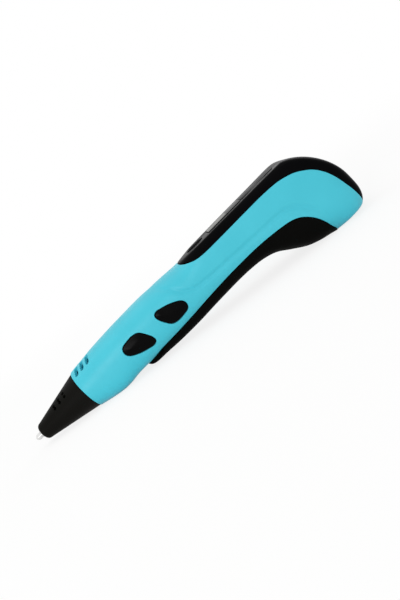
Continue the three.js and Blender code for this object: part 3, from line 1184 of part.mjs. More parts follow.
// The mode button, the display window, and the rocker on its pin.
function capControls() {
  const flangeTop = capFloor - CLEARANCE;
  const face = topPrism(modePlan(0), flangeTop - BUTTON_FLANGE_THICKNESS,
    CAP_FLAT_HEIGHT + MODE_BUTTON_PROUD);
  const flange = topPrism(modePlan(BUTTON_FLANGE), flangeTop - BUTTON_FLANGE_THICKNESS, flangeTop);
  addPiece('mode_button', face.add(flange), MATERIALS.glossBlack);
  const windowTop = CAP_FLAT_HEIGHT + WINDOW_PROUD;
  addPiece('display_window', topPrism(
    roundedPlan(WINDOW_STATION, WINDOW_LENGTH, WINDOW_WIDTH, WINDOW_CORNER),
    windowTop - WINDOW_THICKNESS, windowTop), MATERIALS.glass);
  const rockerTop = CAP_FLAT_HEIGHT + ROCKER_PROUD;
  const bottom = rockerTop - ROCKER_THICKNESS;
  const [front, back] = [ROCKER_STATION - ROCKER_LENGTH / 2, ROCKER_STATION + ROCKER_LENGTH / 2];
  const outline = [
    [front, bottom], [back, bottom], [back, rockerTop - ROCKER_DISH / 2],
    [back - ROCKER_DISH, rockerTop], [ROCKER_STATION, rockerTop - ROCKER_DISH],
    [front + ROCKER_DISH, rockerTop], [front, rockerTop - ROCKER_DISH / 2],
  ];
  const keys = sidePrism(outline, ROCKER_WIDTH / 2).intersect(topPrism(
    roundedPlan(ROCKER_STATION, ROCKER_LENGTH, ROCKER_WIDTH, WINDOW_CORNER),
    0, 2 * CAP_FLAT_HEIGHT));
  const rib = box(ROCKER_STATION - ROCKER_LUG_RADIUS, ROCKER_STATION + ROCKER_LUG_RADIUS,
    -ROCKER_WIDTH / 2, ROCKER_WIDTH / 2, rockerPivot - ROCKER_LUG_RADIUS, bottom + SEAM);
  const rocker = keys.add(rib).subtract(bar('y', ROCKER_PIN_RADIUS + SEAM / 2, 2 * ROCKER_WIDTH,
    [ROCKER_STATION, 0, rockerPivot], 10));
  addPiece('speed_rocker', rocker, MATERIALS.glossBlack);
  const pinLength = ROCKER_WIDTH + 2 * (ROCKER_LUG + RUNNING_CLEARANCE) - 2 * CLEARANCE;
  addPiece('rocker_pin', bar('y', ROCKER_PIN_RADIUS - SEAM / 4, pinLength, [0, 0, 0], 10),
    MATERIALS.steel, [ROCKER_STATION, 0, rockerPivot]);
}

// The pan-head screws, driven from the right-hand side.
function shellScrews() {
  screwPlaces.forEach(([x, z], i) => {
    const head = bar('y', SCREW_HEAD_RADIUS, SCREW_HEAD_HEIGHT, [0, SCREW_HEAD_HEIGHT / 2, 0], 12);
    const shank = bar('y', SCREW_RADIUS, SCREW_LENGTH, [0, -SCREW_LENGTH / 2, 0], 8);
    const slot = (along) => box(
      along ? -SCREW_HEAD_RADIUS / 2 : -SCREW_SLOT_WIDTH / 2,
      along ? SCREW_HEAD_RADIUS / 2 : SCREW_SLOT_WIDTH / 2,
      SCREW_HEAD_HEIGHT / 2, 2 * SCREW_HEAD_HEIGHT,
      along ? -SCREW_SLOT_WIDTH / 2 : -SCREW_HEAD_RADIUS / 2,
      along ? SCREW_SLOT_WIDTH / 2 : SCREW_HEAD_RADIUS / 2);
    const seat = sideSurface(x, z) - SCREW_HEAD_HEIGHT - SEAM / 2;
    addPiece(`shell_screw_${i + 1}`, head.add(shank).subtract(slot(true)).subtract(slot(false)),
      MATERIALS.steel, [x, seat - SEAM, z]);
  });
}

// One insulated lead through points of [station, across, height].
function lead(name, points) {
  const curve = new THREE.CatmullRomCurve3(points.map((point) => new THREE.Vector3(...point)));
  const shape = new THREE.Shape(Array.from({ length: LEAD_SIDES }, (_, i) => {
    const angle = (i / LEAD_SIDES) * 2 * Math.PI;
    return new THREE.Vector2(LEAD_RADIUS * Math.cos(angle), LEAD_RADIUS * Math.sin(angle));
  }));
  const geometry = new THREE.ExtrudeGeometry(shape,
    { steps: LEAD_SEGMENTS, extrudePath: curve, bevelEnabled: false });
  addPiece(name, toSolid(geometry), MATERIALS.cable);
}

// The leads inside the housing: each ends under the main board.
function leads() {
  const under = MAIN_BOARD_TOP - BOARD_THICKNESS - LEAD_BOARD_GAP - LEAD_RADIUS;
  const over = BUSH_RADIUS + CARRIER_WALL;
  const front = MAIN_BOARD_FRONT + 2 * POST_RADIUS;
  const boardEdge = MAIN_BOARD_FRONT - 2 * LEAD_RADIUS;
  const beforeSpindle = GEAR_STATION - SPINDLE_LENGTH;
  const fanEdge = FAN_STATION + FAN_SIZE / 2 + LEAD_RADIUS;
  const risen = (stations, shares, across) =>
    stations.map((station, i) => [station, across, shares[i] * over]);
  lead('heater_lead', [
    ...risen([holderBack + 2 * LEAD_RADIUS, FAN_STATION, LOAD_BUTTON.station,
      LOAD_BUTTON.station + BUTTON_HEIGHT, beforeSpindle, GEAR_STATION, spindleBack],
    HEATER_LEAD_SHARES, LEAD_INNER),
    [boardEdge, LEAD_INNER, under - 2 * LEAD_BOARD_GAP],
    [front, LEAD_INNER, under - 2 * LEAD_BOARD_GAP],
  ]);
  lead('fan_lead', [
    ...risen([fanEdge, LOAD_BUTTON.station, beforeSpindle, GEAR_STATION],
      FAN_LEAD_SHARES, LEAD_OUTER),
    [boardEdge, LEAD_OUTER, under + LEAD_BOARD_GAP], [front, LEAD_OUTER, under],
  ]);
  const sideMiddle = sideBoardOuter - BOARD_THICKNESS / 2;
  const sideBoardTop = LOAD_BUTTON.height + SIDE_BOARD_HEIGHT / 2;
  lead('switch_lead', [
    [beforeSpindle, -sideMiddle, sideBoardTop + LEAD_RADIUS + SEAM],
    [GEAR_STATION - SPINDLE_LENGTH / 2, -LEAD_OUTER, over], [GEAR_STATION, -LEAD_OUTER, over],
    [boardEdge, -LEAD_OUTER, under + LEAD_BOARD_GAP], [front, -LEAD_OUTER, under],
  ]);
  const motorBack = gearboxFront + GEARBOX_LENGTH + MOTOR_LENGTH + MOTOR_CAP + 3 * SEAM;
  lead('motor_lead', [
    [motorBack + LEAD_RADIUS / 2, LEAD_INNER, -driveDrop],
    [motorBack + 3 * LEAD_RADIUS, LEAD_INNER, -driveDrop],
    [motorBack + 4 * LEAD_RADIUS, LEAD_BESIDE_MOTOR, -driveDrop / 3],
    [motorBack, LEAD_BESIDE_MOTOR, under],
  ]);
  const socketTop = SOCKET_DEPTH - END_FACE_DROP;
  const [highShare, higherShare] = SOCKET_LEAD_SHARES;
  lead('socket_lead', [
    [SOCKET_STATION, LEAD_AT_SOCKET, socketTop + LEAD_RADIUS],
    [SOCKET_STATION, LEAD_INNER, socketTop * highShare],
    [SOCKET_STATION - SOCKET_RADIUS / 2, LEAD_INNER, socketTop * higherShare],
    [INLET_STATION, LEAD_BESIDE_MOTOR, 0], [MAIN_BOARD_BACK, LEAD_OUTER, under],
    [MAIN_BOARD_BACK - 4 * POST_RADIUS, LEAD_OUTER, under],
  ]);
}

shells();
displayCap();
gripKeel();
noseCone();
hotEnd();
guides();
tailFittings();
filamentDrive();
coolingFan();
feedButton('load_button', LOAD_BUTTON);
feedButton('unload_button', UNLOAD_BUTTON);
sideElectronics();
mainElectronics();
capControls();
shellScrews();
leads();

// Lay the pen on its chin and heel, and centre it over the table.
const laidPen = new THREE.Group();
pen.rotation.y = -restTilt;
laidPen.add(pen);
laidPen.updateMatrixWorld(true);
const bounds = new THREE.Box3().setFromObject(laidPen, true);
laidPen.position.set(
  -(bounds.min.x + bounds.max.x) / 2, -(bounds.min.y + bounds.max.y) / 2, -bounds.min.z);

export default laidPen;
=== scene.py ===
"""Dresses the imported 3D-printing pen: finely moulded housing, cap, keel, cone and keys over the
CAD frame, with procedural materials, a pale studio and the photograph's camera."""

import math

import bpy
import numpy as np
from mathutils import Matrix, Vector


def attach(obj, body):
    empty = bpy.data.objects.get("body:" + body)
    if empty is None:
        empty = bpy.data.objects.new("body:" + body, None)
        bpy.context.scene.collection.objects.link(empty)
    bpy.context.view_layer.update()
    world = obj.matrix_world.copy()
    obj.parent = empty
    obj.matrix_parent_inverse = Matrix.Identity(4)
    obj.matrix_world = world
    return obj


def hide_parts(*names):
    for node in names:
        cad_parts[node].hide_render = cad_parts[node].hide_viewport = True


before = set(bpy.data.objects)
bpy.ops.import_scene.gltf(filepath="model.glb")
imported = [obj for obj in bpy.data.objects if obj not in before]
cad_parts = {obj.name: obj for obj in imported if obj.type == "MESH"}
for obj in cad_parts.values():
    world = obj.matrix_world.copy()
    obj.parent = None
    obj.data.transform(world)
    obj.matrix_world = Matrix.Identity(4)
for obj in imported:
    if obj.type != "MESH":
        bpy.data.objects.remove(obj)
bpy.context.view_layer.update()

# Sizes are in millimetres in the barrel's own axes: x runs back from the nozzle tip, z points to
# the display and y to the right-hand side. The last step of each piece turns them into metres in
# the frame, where the pen lies on its chin and heel.

# Where the barrel's axes lie in the frame
BARREL_ORIGIN = (-91.896, 0.0, 5.1)
REST_TILT = math.radians(8.43541)

# Overall form. The length and the tail's half width lie a little under those of the solids
PEN_LENGTH = 182.77
BARREL_RADIUS = 12.0
TAIL_HALF_WIDTH = 15.47
TAIL_POINT_DROP = 17.0
END_FACE_DROP = 29.4
END_FACE_EDGE = 0.7            # softness of the end face's rim
WALL = 1.6
SEAM = 0.16                    # gap between neighbouring mouldings
SHELL_SEAM = 0.05              # gap between the two blue shells
LIP = 0.26                     # rounded edge of a moulding
CORNER = 0.5                   # in-plane rounding where two seams meet
CAP_FLAT_HEIGHT = 10.7
CAP_FLAT_FRONT = 104.0
CAP_FLAT_EDGE = 0.35
NOSE_JOINT = 32.2

# Grip keel
KEEL_FRONT_RADIUS = 7.4
KEEL_FLARE = math.radians(20.6)
KEEL_SQUARENESS = 2.8
KEEL_LIP = 0.4
KEEL_WALL = 3.2

# Nose cone and nozzle
CONE_TIP = 3.9
CONE_TIP_RADIUS = 4.25
CONE_TIP_ROUND = 2.1
CONE_JOINT_RADIUS = 9.7
CONE_MOUTH_RADIUS = 1.85
CONE_LIP = 0.22
CONE_WALL = 1.2
CONE_VENT_RADIUS = 0.76
CONE_VENT_SHARES = (0.46, 0.585, 0.71)
CONE_VENT_ANGLES = (30, 45, -30, -45)

# Nozzle, from its tip: bore, tip, shoulder and the flange that the cone holds
NOZZLE_BORE = 0.35
NOZZLE_FEED_BORE = 1.0
NOZZLE_TIP_RADIUS = 0.9
NOZZLE_RADIUS = 1.45
NOZZLE_SHOULDER = 1.3
NOZZLE_FLANGE = 9.0
NOZZLE_FLANGE_RADIUS = 2.9
NOZZLE_BACK = 10.8

# Feed buttons on the left side
BUTTON_LENGTH = 13.893
BUTTON_HEIGHT = 9.9
BUTTON_LEVEL = -1.2
LOAD_STATION = 64.108
UNLOAD_STATION = 84.892
BUTTON_PROUD = 0.5
BUTTON_DOME = 3.8              # how far in from its edge a button rises
BUTTON_LIP = 0.45
BUTTON_EDGE_SHARE = 0.1        # of its rise at its edge
BUTTON_GAP = 0.16
PETAL_SHARES = (
    (1, -0.455), (0.786, 0.27), (0.514, 0.82), (0.157, 1), (-0.37, 0.98), (-0.83, 0.84),
    (-1, 0.35), (-0.87, -0.1), (-0.257, -0.61), (0.3, -0.87), (0.72, -1), (0.95, -0.86),
)

# Controls on the cap
MODE_STATION = 112.612
MODE_LENGTH = 9.195
MODE_WIDTH = 6.4
MODE_PROUD = 0.7
MODE_TAPER_SHARE = 0.15
MODE_EDGE_SHARE = 0.45         # of its rise at its edge
WINDOW_STATION = 130.82
WINDOW_LENGTH = 20.02
WINDOW_WIDTH = 11.2
WINDOW_PROUD = 0.35
WINDOW_CROWN = 0.1
ROCKER_STATION = 150.801
ROCKER_LENGTH = 19.395
ROCKER_WIDTH = 11.2
ROCKER_PROUD = 0.34
ROCKER_DISH = 0.2
ROCKER_DISH_STEEPNESS = 2.2
ROCKER_CROWN = 0.12
CONTROL_CORNER = 1.2
CONTROL_GAP = 0.16
CONTROL_DEPTH = 1.5

# Display pane behind the window
PANE_AHEAD = 4.3               # how far its middle lies ahead of the window's
PANE_LENGTH = 11.0
PANE_WIDTH = 7.6
PANE_EDGE = 0.25               # over which it fades out
CELL_SIZE = 0.5
CELL_GAP = 0.06

# Vent slots on the shoulders behind the cone
SLOT_FRONT = 35.993
SLOT_SPACING = 3.601
SLOT_COUNT = 3
SLOT_WIDTH = 2.05
SLOT_LEAN_SHARE = 0.45
SLOT_START = math.radians(6)
SLOT_END = math.radians(41)
SLOT_DEPTH = 2.5               # how far the blue floor of the slots lies below the skin
SLOT_FLOOR_LENGTH = 15

# Screws on the right side: shares of the length and of the barrel radius
SCREW_SHARES = ((0.2845, -0.667), (0.4486, 0.633), (0.7604, -0.54), (0.9163, -0.833))
SCREW_HEAD_RADIUS = 1.7
SCREW_HEAD_HEIGHT = 1.2
SCREW_SINK = 0.27              # how far a head lies below the housing's surface
SCREW_SHANK_RADIUS = 0.9
SCREW_SHANK_LENGTH = 9.0
SCREW_PITCH = 0.8
SCREW_RECESS_WIDTH = 0.5
SCREW_GAP = 0.2
SCREW_TURN_SEED = 7
SCREW_BOSS = 1.8               # blue left round a screw or the inlet where the keel passes it

# Fittings in the tail's end face
INLET_STATION = 165.196
INLET_RADIUS = 1.95
INLET_BORE = 1.3
INLET_DEPTH = 5.0
SOCKET_STATION = 172.691
SOCKET_RADIUS = 3.601
SOCKET_WALL = 0.75
SOCKET_PIN_RADIUS = 1.0
SOCKET_HOLE_DEPTH = 9.0
SOCKET_DEPTH = 11.5
FITTING_GAP = 0.3
FITTING_SINK = 0.18
FITTING_CHAMFER = 0.3
FLANGE_SINK = 1.9              # how far below the end face a fitting's flange starts
FLANGE_THICKNESS = 0.8
FLANGE_REACH = 0.4

# Leads inside the housing: each is a twisted pair along these places
LEAD_WIRE_RADIUS = 0.33
LEAD_WIRE_OFFSET = 0.35
LEAD_TWIST = 6.0               # length of one full turn of a pair
LEAD_STEP_SHARE = 0.06         # of a turn between two rings of a wire
LEAD_ROUTES = {
    "heater_lead": (
        (39.5, 3.25, -4.5), (48.4, 3.25, -3.6), (64.1, 3.25, 0), (74, 3.25, 3.15),
        (86.6, 3.25, 4.28), (98, 3.25, 5.4), (103.7, 3.25, 4.5), (106.4, 3.25, 1.95),
        (109.8, 3.25, 1.95),
    ),
    "fan_lead": (
        (56.1, 5.2, 3.6), (64.1, 5.2, 4.05), (86.6, 5.2, 4.28), (98, 5.2, 4.5),
        (106.4, 5.2, 2.7), (109.8, 5.2, 2.45),
    ),
    "switch_lead": (
        (86.6, -5.72, 3.68), (92.3, -5.2, 4.5), (98, -5.2, 4.5), (106.4, -5.2, 2.7),
        (109.8, -5.2, 2.45),
    ),
    "motor_lead": (
        (130.8, 3.25, -7), (132.5, 3.25, -7), (133.2, 4.16, -2.33), (130.4, 4.16, 2.45),
    ),
    "socket_lead": (
        (172.7, 1.95, -17.2), (172.7, 3.25, -11.1), (170.9, 3.25, -5), (165.2, 4.16, 0),
        (158.5, 5.2, 2.45), (154.5, 5.2, 2.45),
    ),
}

# Side profile: share of the pen's length, share of the barrel radius. Many places in the top,
# bottom, keel, edge and crease tables were measured in the photograph with a program and then
# rounded, so these tables aren't chosen by hand throughout.
TOP_SHARES = (
    (0.166, 0.81), (0.186, 0.86), (0.219, 0.9), (0.252, 0.945), (0.317, 0.985), (0.361, 0.995),
    (0.427, 0.995), (0.46, 0.965), (0.492, 0.945), (0.525, 0.905), (0.5525, 0.875), (0.58, 0.91),
    (0.605, 0.96), (0.66, 0.97), (0.82, 0.965), (1, 0.96),
)
BOTTOM_SHARES = (
    (0.166, -0.79), (0.186, -0.86), (0.202, -0.915), (0.219, -0.965), (0.235, -1),
    (0.252, -1.02), (0.274, -1.01), (0.3, -0.965), (0.34, -0.965), (0.44, -0.965),
    (0.547, -0.965), (0.613, -1), (0.656, -1.12), (0.695, -1.25), (0.728, -1.4), (0.76, -1.64),
    (0.793, -2.03), (0.826, -2.28), (0.859, -2.42), (0.892, -2.55), (0.93, -2.7), (1, -2.8),
)
KEEL_SHARES = (
    (0.3255, -0.96), (0.3365, -1.09), (0.35, -1.16), (0.383, -1.185), (0.432, -1.23),
    (0.498, -1.235), (0.547, -1.205), (0.613, -1.185), (0.646, -1.185), (0.678, -1.21),
    (0.711, -1.28), (0.744, -1.45), (0.777, -1.8), (0.81, -2.13), (0.842, -2.32),
    (0.875, -2.43), (0.892, -2.5),
)
KEEL_EDGE_SHARES = (
    (0.3255, -0.86), (0.383, -0.855), (0.438, -0.84), (0.49, -0.8), (0.547, -0.735),
    (0.613, -0.685), (0.684, -0.66), (0.728, -0.675), (0.762, -0.715), (0.793, -0.775),
    (0.81, -0.825), (0.826, -0.91), (0.841, -1.055), (0.856, -1.3), (0.866, -1.55),
    (0.873, -1.81), (0.8795, -2.12), (0.886, -2.36), (0.8935, -2.7),
)
CAP_EDGE_SHARES = (
    (0.551, 0.98), (0.5545, 0.88), (0.562, 0.79), (0.574, 0.7), (0.589, 0.615),
    (0.605, 0.572), (0.625, 0.552), (0.66, 0.548), (0.79, 0.56), (0.825, 0.544),
    (0.856, 0.5), (0.887, 0.377), (0.903, 0.265), (0.918, 0.115), (0.935, -0.105),
    (0.951, -0.45), (0.962, -0.84), (0.97, -1.32), (0.9765, -1.87), (0.9815, -2.5),
)
WIDTH_SHARES = (
    (0.166, 0.64), (0.197, 0.68), (0.252, 0.735), (0.328, 0.768), (0.438, 0.78), (0.547, 0.8),
    (0.656, 0.845), (0.766, 0.93), (0.832, 0.98), (0.875, 1), (1, 1),
)
UPPER_SQUARENESS_SHARES = (
    (0.166, 2), (0.252, 2.35), (0.44, 2.5), (0.54, 2.6), (0.62, 4), (0.82, 4.4), (0.92, 5), (1, 5),
)
LOWER_SQUARENESS_SHARES = (
    (0.166, 2), (0.219, 2.5), (0.252, 3), (0.33, 3.2), (0.547, 3), (0.684, 2.6), (1, 2.6),
)
# Crease on the flank: share of the length, share of the barrel radius
CREASE_SHARES = (
    (0.452, 1.15), (0.466, 0.96), (0.478, 0.8), (0.488, 0.64), (0.498, 0.49), (0.508, 0.28),
    (0.519, 0.08), (0.538, -0.09), (0.566, -0.172), (0.597, -0.218), (0.656, -0.271),
    (0.715, -0.318), (0.774, -0.352), (0.824, -0.42), (0.844, -0.596), (0.86, -0.867),
    (0.876, -1.234), (0.892, -1.75),
)
CREASE_DEPTH = 0.55
CREASE_WIDTH = 1.1
TAIL_ROUND_SHARE = 0.875
TAIL_TOP_ROUNDNESS = 1.8
TAIL_BOTTOM_ROUNDNESS = 3.2
TAIL_SIDE_ROUNDNESS = 3.4

# How finely surfaces are drawn
SKIN_STEP = 0.75
KEY_STEP = 0.34
LIP_STEPS = 4
TAIL_RINGS = 64
LATHE_SIDES = 72
ARC_STEPS = 6                  # spans of a rounding in a lathed outline
MODE_SIDES = 72
PETAL_STEPS = 8                # points of a petal's curve for each of its shares
SHARP_TURN = math.radians(40)  # edges of lathed pieces that turn further stay sharp
CUT_HALVINGS = 14              # how often the search for a skin's edge halves its span
SNAP_SHARE = 0.3               # share of a step within which a grid point moves to the edge
SNAPPED_SHARE = 0.1            # share of a step within which it then counts as on the edge
LEAST_STEEP = 0.04             # squared slope that a grid point needs to be moved
NO_SLOPE = 1e-6                # stands in for a squared slope of zero
NO_LENGTH = 1e-12              # stands in for a length of zero
NUDGE = 0.004                  # how far to either side a slope is measured
ONCE_ROUND = 2 * math.pi * BARREL_RADIUS

# Patterns of the materials, in millimetres
DRIFT_SIZE = 24
SHEEN_SIZE = 7
TARNISH_SIZE = 3.5
CLOUD_ROUGHNESS = 0.55
LINE_STRETCH_SHARE = 0.06      # lines of turned metal run this much slower along the piece
TRACK_MARGIN = 0.16            # half the width of a board's tracks
TRACK_RUN = 4.2
TRACK_SPACING = 1.1
LAP_WIDTH = 3

# Studio, in metres
FLOOR_REACH = 40.0
FLOOR_SPANS = 8
FLOOR_CLOUD_SIZE = 120         # in millimetres
GLOW_FROM = 0.12               # distance from the middle at which the floor grows brighter
GLOW_TO = 0.5
GLOW_SHARES = (0.8, 1.0)       # of the floor as the camera sees it: glow near and far
ROOM_LIGHT = 0.7               # what the pale room adds from all round
LAMPS = {                      # place, aim, size and watts
    "top_softbox": ((-0.05, 0.05, 0.55), (0, 0, 0.02), (0.7, 0.5), 0.8),
    "front_softbox": ((-0.25, -0.57, 0.12), (-0.02, 0, 0.02), (0.2, 0.18), 1.1),
    "rear_strip": ((0.35, 0.45, 0.25), (0.03, 0, 0.03), (0.5, 0.2), 0.5),
}
CAMERA_AIM = (0.0, 0.0, 0.020)
CAMERA_DISTANCE = 0.33
CAMERA_ELEVATION = math.radians(8.5)
CAMERA_ROLL = math.radians(37.165)
CAMERA_LENS = 43.95            # in millimetres, like the sensor
CAMERA_SENSOR = 36.0
CAMERA_SHIFT_SHARES = (0.0352, -0.0153)
CAMERA_CLIP = 0.01


def profile(shares, scale):
    """A smooth curve through pairs of shares, scaled to the length and to a height."""
    x = np.array([share for share, _ in shares]) * PEN_LENGTH
    y = np.array([share for _, share in shares]) * scale
    before = np.maximum(np.arange(len(x)) - 1, 0)
    after = np.minimum(np.arange(len(x)) + 1, len(x) - 1)
    slopes = (y[after] - y[before]) / (x[after] - x[before])

    def line(station):
        at = np.clip(station, x[0], x[-1])
        i = np.clip(np.searchsorted(x, at) - 1, 0, len(x) - 2)
        span = x[i + 1] - x[i]
        t = (at - x[i]) / span
        rise = y[i + 1] - y[i]
        a = slopes[i] * span - rise
        b = rise - slopes[i + 1] * span
        return y[i] + t * rise + t * (1 - t) * (a * (1 - t) + b * t)

    return line


top_line = profile(TOP_SHARES, BARREL_RADIUS)
bottom_line = profile(BOTTOM_SHARES, BARREL_RADIUS)
keel_line = profile(KEEL_SHARES, BARREL_RADIUS)
keel_edge = profile(KEEL_EDGE_SHARES, BARREL_RADIUS)
cap_edge = profile(CAP_EDGE_SHARES, BARREL_RADIUS)
crease_line = profile(CREASE_SHARES, BARREL_RADIUS)
width_line = profile(WIDTH_SHARES, TAIL_HALF_WIDTH)
upper_squareness = profile(UPPER_SQUARENESS_SHARES, 1)
lower_squareness = profile(LOWER_SQUARENESS_SHARES, 1)


def smooth_step(value):
    """Eases from 0 to 1 as a value goes from 0 to 1."""
    t = np.clip(value, 0, 1)
    return t * t * (3 - 2 * t)


def soft_min(a, b, softness):
    """The lesser of two values, with a rounded change-over."""
    h = np.clip(0.5 + 0.5 * (b - a) / softness, 0, 1)
    return b + (a - b) * h - softness * h * (1 - h)


def soft_max(a, b, softness):
    return -soft_min(-a, -b, softness)


def tail_fade(station, roundness):
    """How much of its size the tail still has, from 1 down to 0 at the rearmost point."""
    start = TAIL_ROUND_SHARE * PEN_LENGTH
    share = np.clip((station - start) / (PEN_LENGTH - start), 0, 1)
    return (1 - share ** roundness) ** (1 / roundness)


def body_section(station):
    """Top, bottom, half width and squareness of the body's section at a station."""
    fall_top = tail_fade(station, TAIL_TOP_ROUNDNESS)
    fall_bottom = tail_fade(station, TAIL_BOTTOM_ROUNDNESS)
    top = -TAIL_POINT_DROP + (top_line(station) + TAIL_POINT_DROP) * fall_top
    bottom = -TAIL_POINT_DROP + (bottom_line(station) + TAIL_POINT_DROP) * fall_bottom
    half = width_line(station) * tail_fade(station, TAIL_SIDE_ROUNDNESS)
    return top, bottom, half, upper_squareness(station), lower_squareness(station)


def half_width_at(station, height):
    """Half width of the body at a height."""
    top, bottom, half, upper, lower = body_section(station)
    middle = (top + bottom) / 2
    reach = np.maximum((top - bottom) / 2, NUDGE)
    power = np.where(height > middle, upper, lower)
    share = np.clip(np.abs(height - middle) / reach, 0, 1)
    return half * (1 - share ** power) ** (1 / power)


def crease_depth(x, z):
    """How far the flank is drawn in along its crease."""
    slope = (crease_line(x + NUDGE) - crease_line(x - NUDGE)) / (2 * NUDGE)
    away = (z - crease_line(x)) / np.hypot(1, slope)
    first, last = (CREASE_SHARES[i][0] * PEN_LENGTH for i in (0, -1))
    ends = smooth_step((x - first) / CREASE_WIDTH) * smooth_step((last - x) / (4 * CREASE_WIDTH))
    return CREASE_DEPTH * ends * np.exp(-(away / CREASE_WIDTH) ** 2)


def clear_of_screws(x, z):
    """The share of the crease that is left near the screws: none at a screw's opening."""
    share = 1.0
    for station, level in screw_places():
        away = np.hypot(x - station, z - level) - SCREW_HEAD_RADIUS - SCREW_GAP
        share = share * smooth_step(away / (2 * CREASE_WIDTH))
    return share


def body_surface(station, arc):
    """The outer skin. The arc is in millimetres at the barrel radius, from the right-hand side
    over the top."""
    top, bottom, half, upper, lower = body_section(station)
    middle = (top + bottom) / 2
    reach = (top - bottom) / 2
    across = np.cos(arc / BARREL_RADIUS)
    up = np.sin(arc / BARREL_RADIUS)
    power = np.where(up > 0, upper, lower)
    size = (np.abs(across) ** power + np.abs(up) ** power) ** (-1 / power)
    y = half * size * across
    z = middle + reach * size * up
    crease = crease_depth(station, z) * np.where(y > 0, clear_of_screws(station, z), 1)
    y = y - np.sign(y) * np.minimum(np.abs(y), crease)
    lift = 2 * BARREL_RADIUS * smooth_step((CAP_FLAT_FRONT - station) / BARREL_RADIUS)
    z = soft_min(z, CAP_FLAT_HEIGHT + lift, CAP_FLAT_EDGE)
    z = soft_max(z, -END_FACE_DROP, END_FACE_EDGE)
    return np.stack([station + 0 * z, y, z], axis=-1)


def keel_surface(station, arc):
    """The keel's skin: upright at its edge and rounded down to the keel line."""
    edge = np.maximum(keel_edge(station), keel_line(station) + WALL)
    low = keel_line(station)
    side = np.maximum(half_width_at(station, keel_edge(station)), KEEL_FRONT_RADIUS)
    turn = np.clip(arc / BARREL_RADIUS, -math.pi / 2, math.pi / 2)
    past = np.abs(arc) - BARREL_RADIUS * np.abs(turn)
    across = np.sin(turn)
    down = np.cos(turn)
    size = (np.abs(across) ** KEEL_SQUARENESS + down ** KEEL_SQUARENESS) ** (-1 / KEEL_SQUARENESS)
    y = side * size * across
    z = edge - (edge - low) * size * down + past
    z = soft_max(z, -END_FACE_DROP, END_FACE_EDGE / 2)
    return np.stack([station + 0 * z, y, z], axis=-1)


def cone_outline(along):
    """Station and radius on the cone's outside, at a length along it from the axis."""
    flat = CONE_TIP_RADIUS - CONE_TIP_ROUND
    curve = CONE_TIP_ROUND * math.pi / 2
    turn = np.clip((along - flat) / CONE_TIP_ROUND, 0, math.pi / 2)
    rest = np.maximum(along - flat - curve, 0)
    slope = (CONE_JOINT_RADIUS - CONE_TIP_RADIUS) / (NOSE_JOINT - CONE_TIP - CONE_TIP_ROUND)
    station = CONE_TIP + CONE_TIP_ROUND * (1 - np.cos(turn)) + rest
    radius = np.minimum(along, flat) + CONE_TIP_ROUND * np.sin(turn) + slope * rest
    return station, radius


def cone_surface(along, arc):
    station, radius = cone_outline(along)
    angle = arc / BARREL_RADIUS
    return np.stack([station, radius * np.cos(angle), radius * np.sin(angle)], axis=-1)


def distance_to_edge(edge, x, z):
    """How far a place in side view lies above an edge curve."""
    slope = (edge(x + NUDGE) - edge(x - NUDGE)) / (2 * NUDGE)
    return (z - edge(x)) / np.hypot(1, slope)


def inside_cap(p):
    """How far a place lies inside the cap's region: above its edge and behind its tip."""
    above = distance_to_edge(cap_edge, p[..., 0], p[..., 2])
    return np.minimum(above, p[..., 0] - CAP_EDGE_SHARES[0][0] * PEN_LENGTH)


def inside_keel(p):
    """How far a place lies inside the keel's region: under its edge and behind its front."""
    x, y, z = p[..., 0], np.abs(p[..., 1]), p[..., 2]
    under = -distance_to_edge(keel_edge, x, z)
    back = KEEL_EDGE_SHARES[-1][0] * PEN_LENGTH - x
    for station, level in screw_places():
        away = np.hypot(x - station, z - level) - SCREW_HEAD_RADIUS - SCREW_BOSS
        under = np.where(p[..., 1] > 0, soft_min(under, away, CORNER), under)
    beside_inlet = np.hypot(x - INLET_STATION, y) - INLET_RADIUS - SCREW_BOSS
    under = soft_min(under, beside_inlet, CORNER)
    radius = KEEL_FRONT_RADIUS * math.cos(KEEL_FLARE)
    from_centre = x - KEEL_EDGE_SHARES[0][0] * PEN_LENGTH - radius
    beside = from_centre * math.cos(KEEL_FLARE) + y * math.sin(KEEL_FLARE)
    flank = radius + from_centre * math.sin(KEEL_FLARE) - y * math.cos(KEEL_FLARE)
    plan = np.where(beside > 0, flank, radius - np.hypot(from_centre, y))
    return soft_min(np.minimum(under, back), plan, CORNER)


def closed_curve(points, steps):
    """A smooth closed curve through points, each span spread by the root of its length."""
    points = np.array(points, dtype=float)
    count = len(points)
    curve = []
    for i in range(count):
        p0, p1, p2, p3 = (points[(i + k - 1) % count] for k in range(4))
        t0 = 0.0
        t1 = t0 + np.linalg.norm(p1 - p0) ** 0.5
        t2 = t1 + np.linalg.norm(p2 - p1) ** 0.5
        t3 = t2 + np.linalg.norm(p3 - p2) ** 0.5
        for t in np.linspace(t1, t2, steps, endpoint=False):
            a1 = (p0 * (t1 - t) + p1 * (t - t0)) / (t1 - t0)
            a2 = (p1 * (t2 - t) + p2 * (t - t1)) / (t2 - t1)
            a3 = (p2 * (t3 - t) + p3 * (t - t2)) / (t3 - t2)
            b1 = (a1 * (t2 - t) + a2 * (t - t0)) / (t2 - t0)
            b2 = (a2 * (t3 - t) + a3 * (t - t1)) / (t3 - t1)
            curve.append((b1 * (t2 - t) + b2 * (t - t1)) / (t2 - t1))
    return np.array(curve)


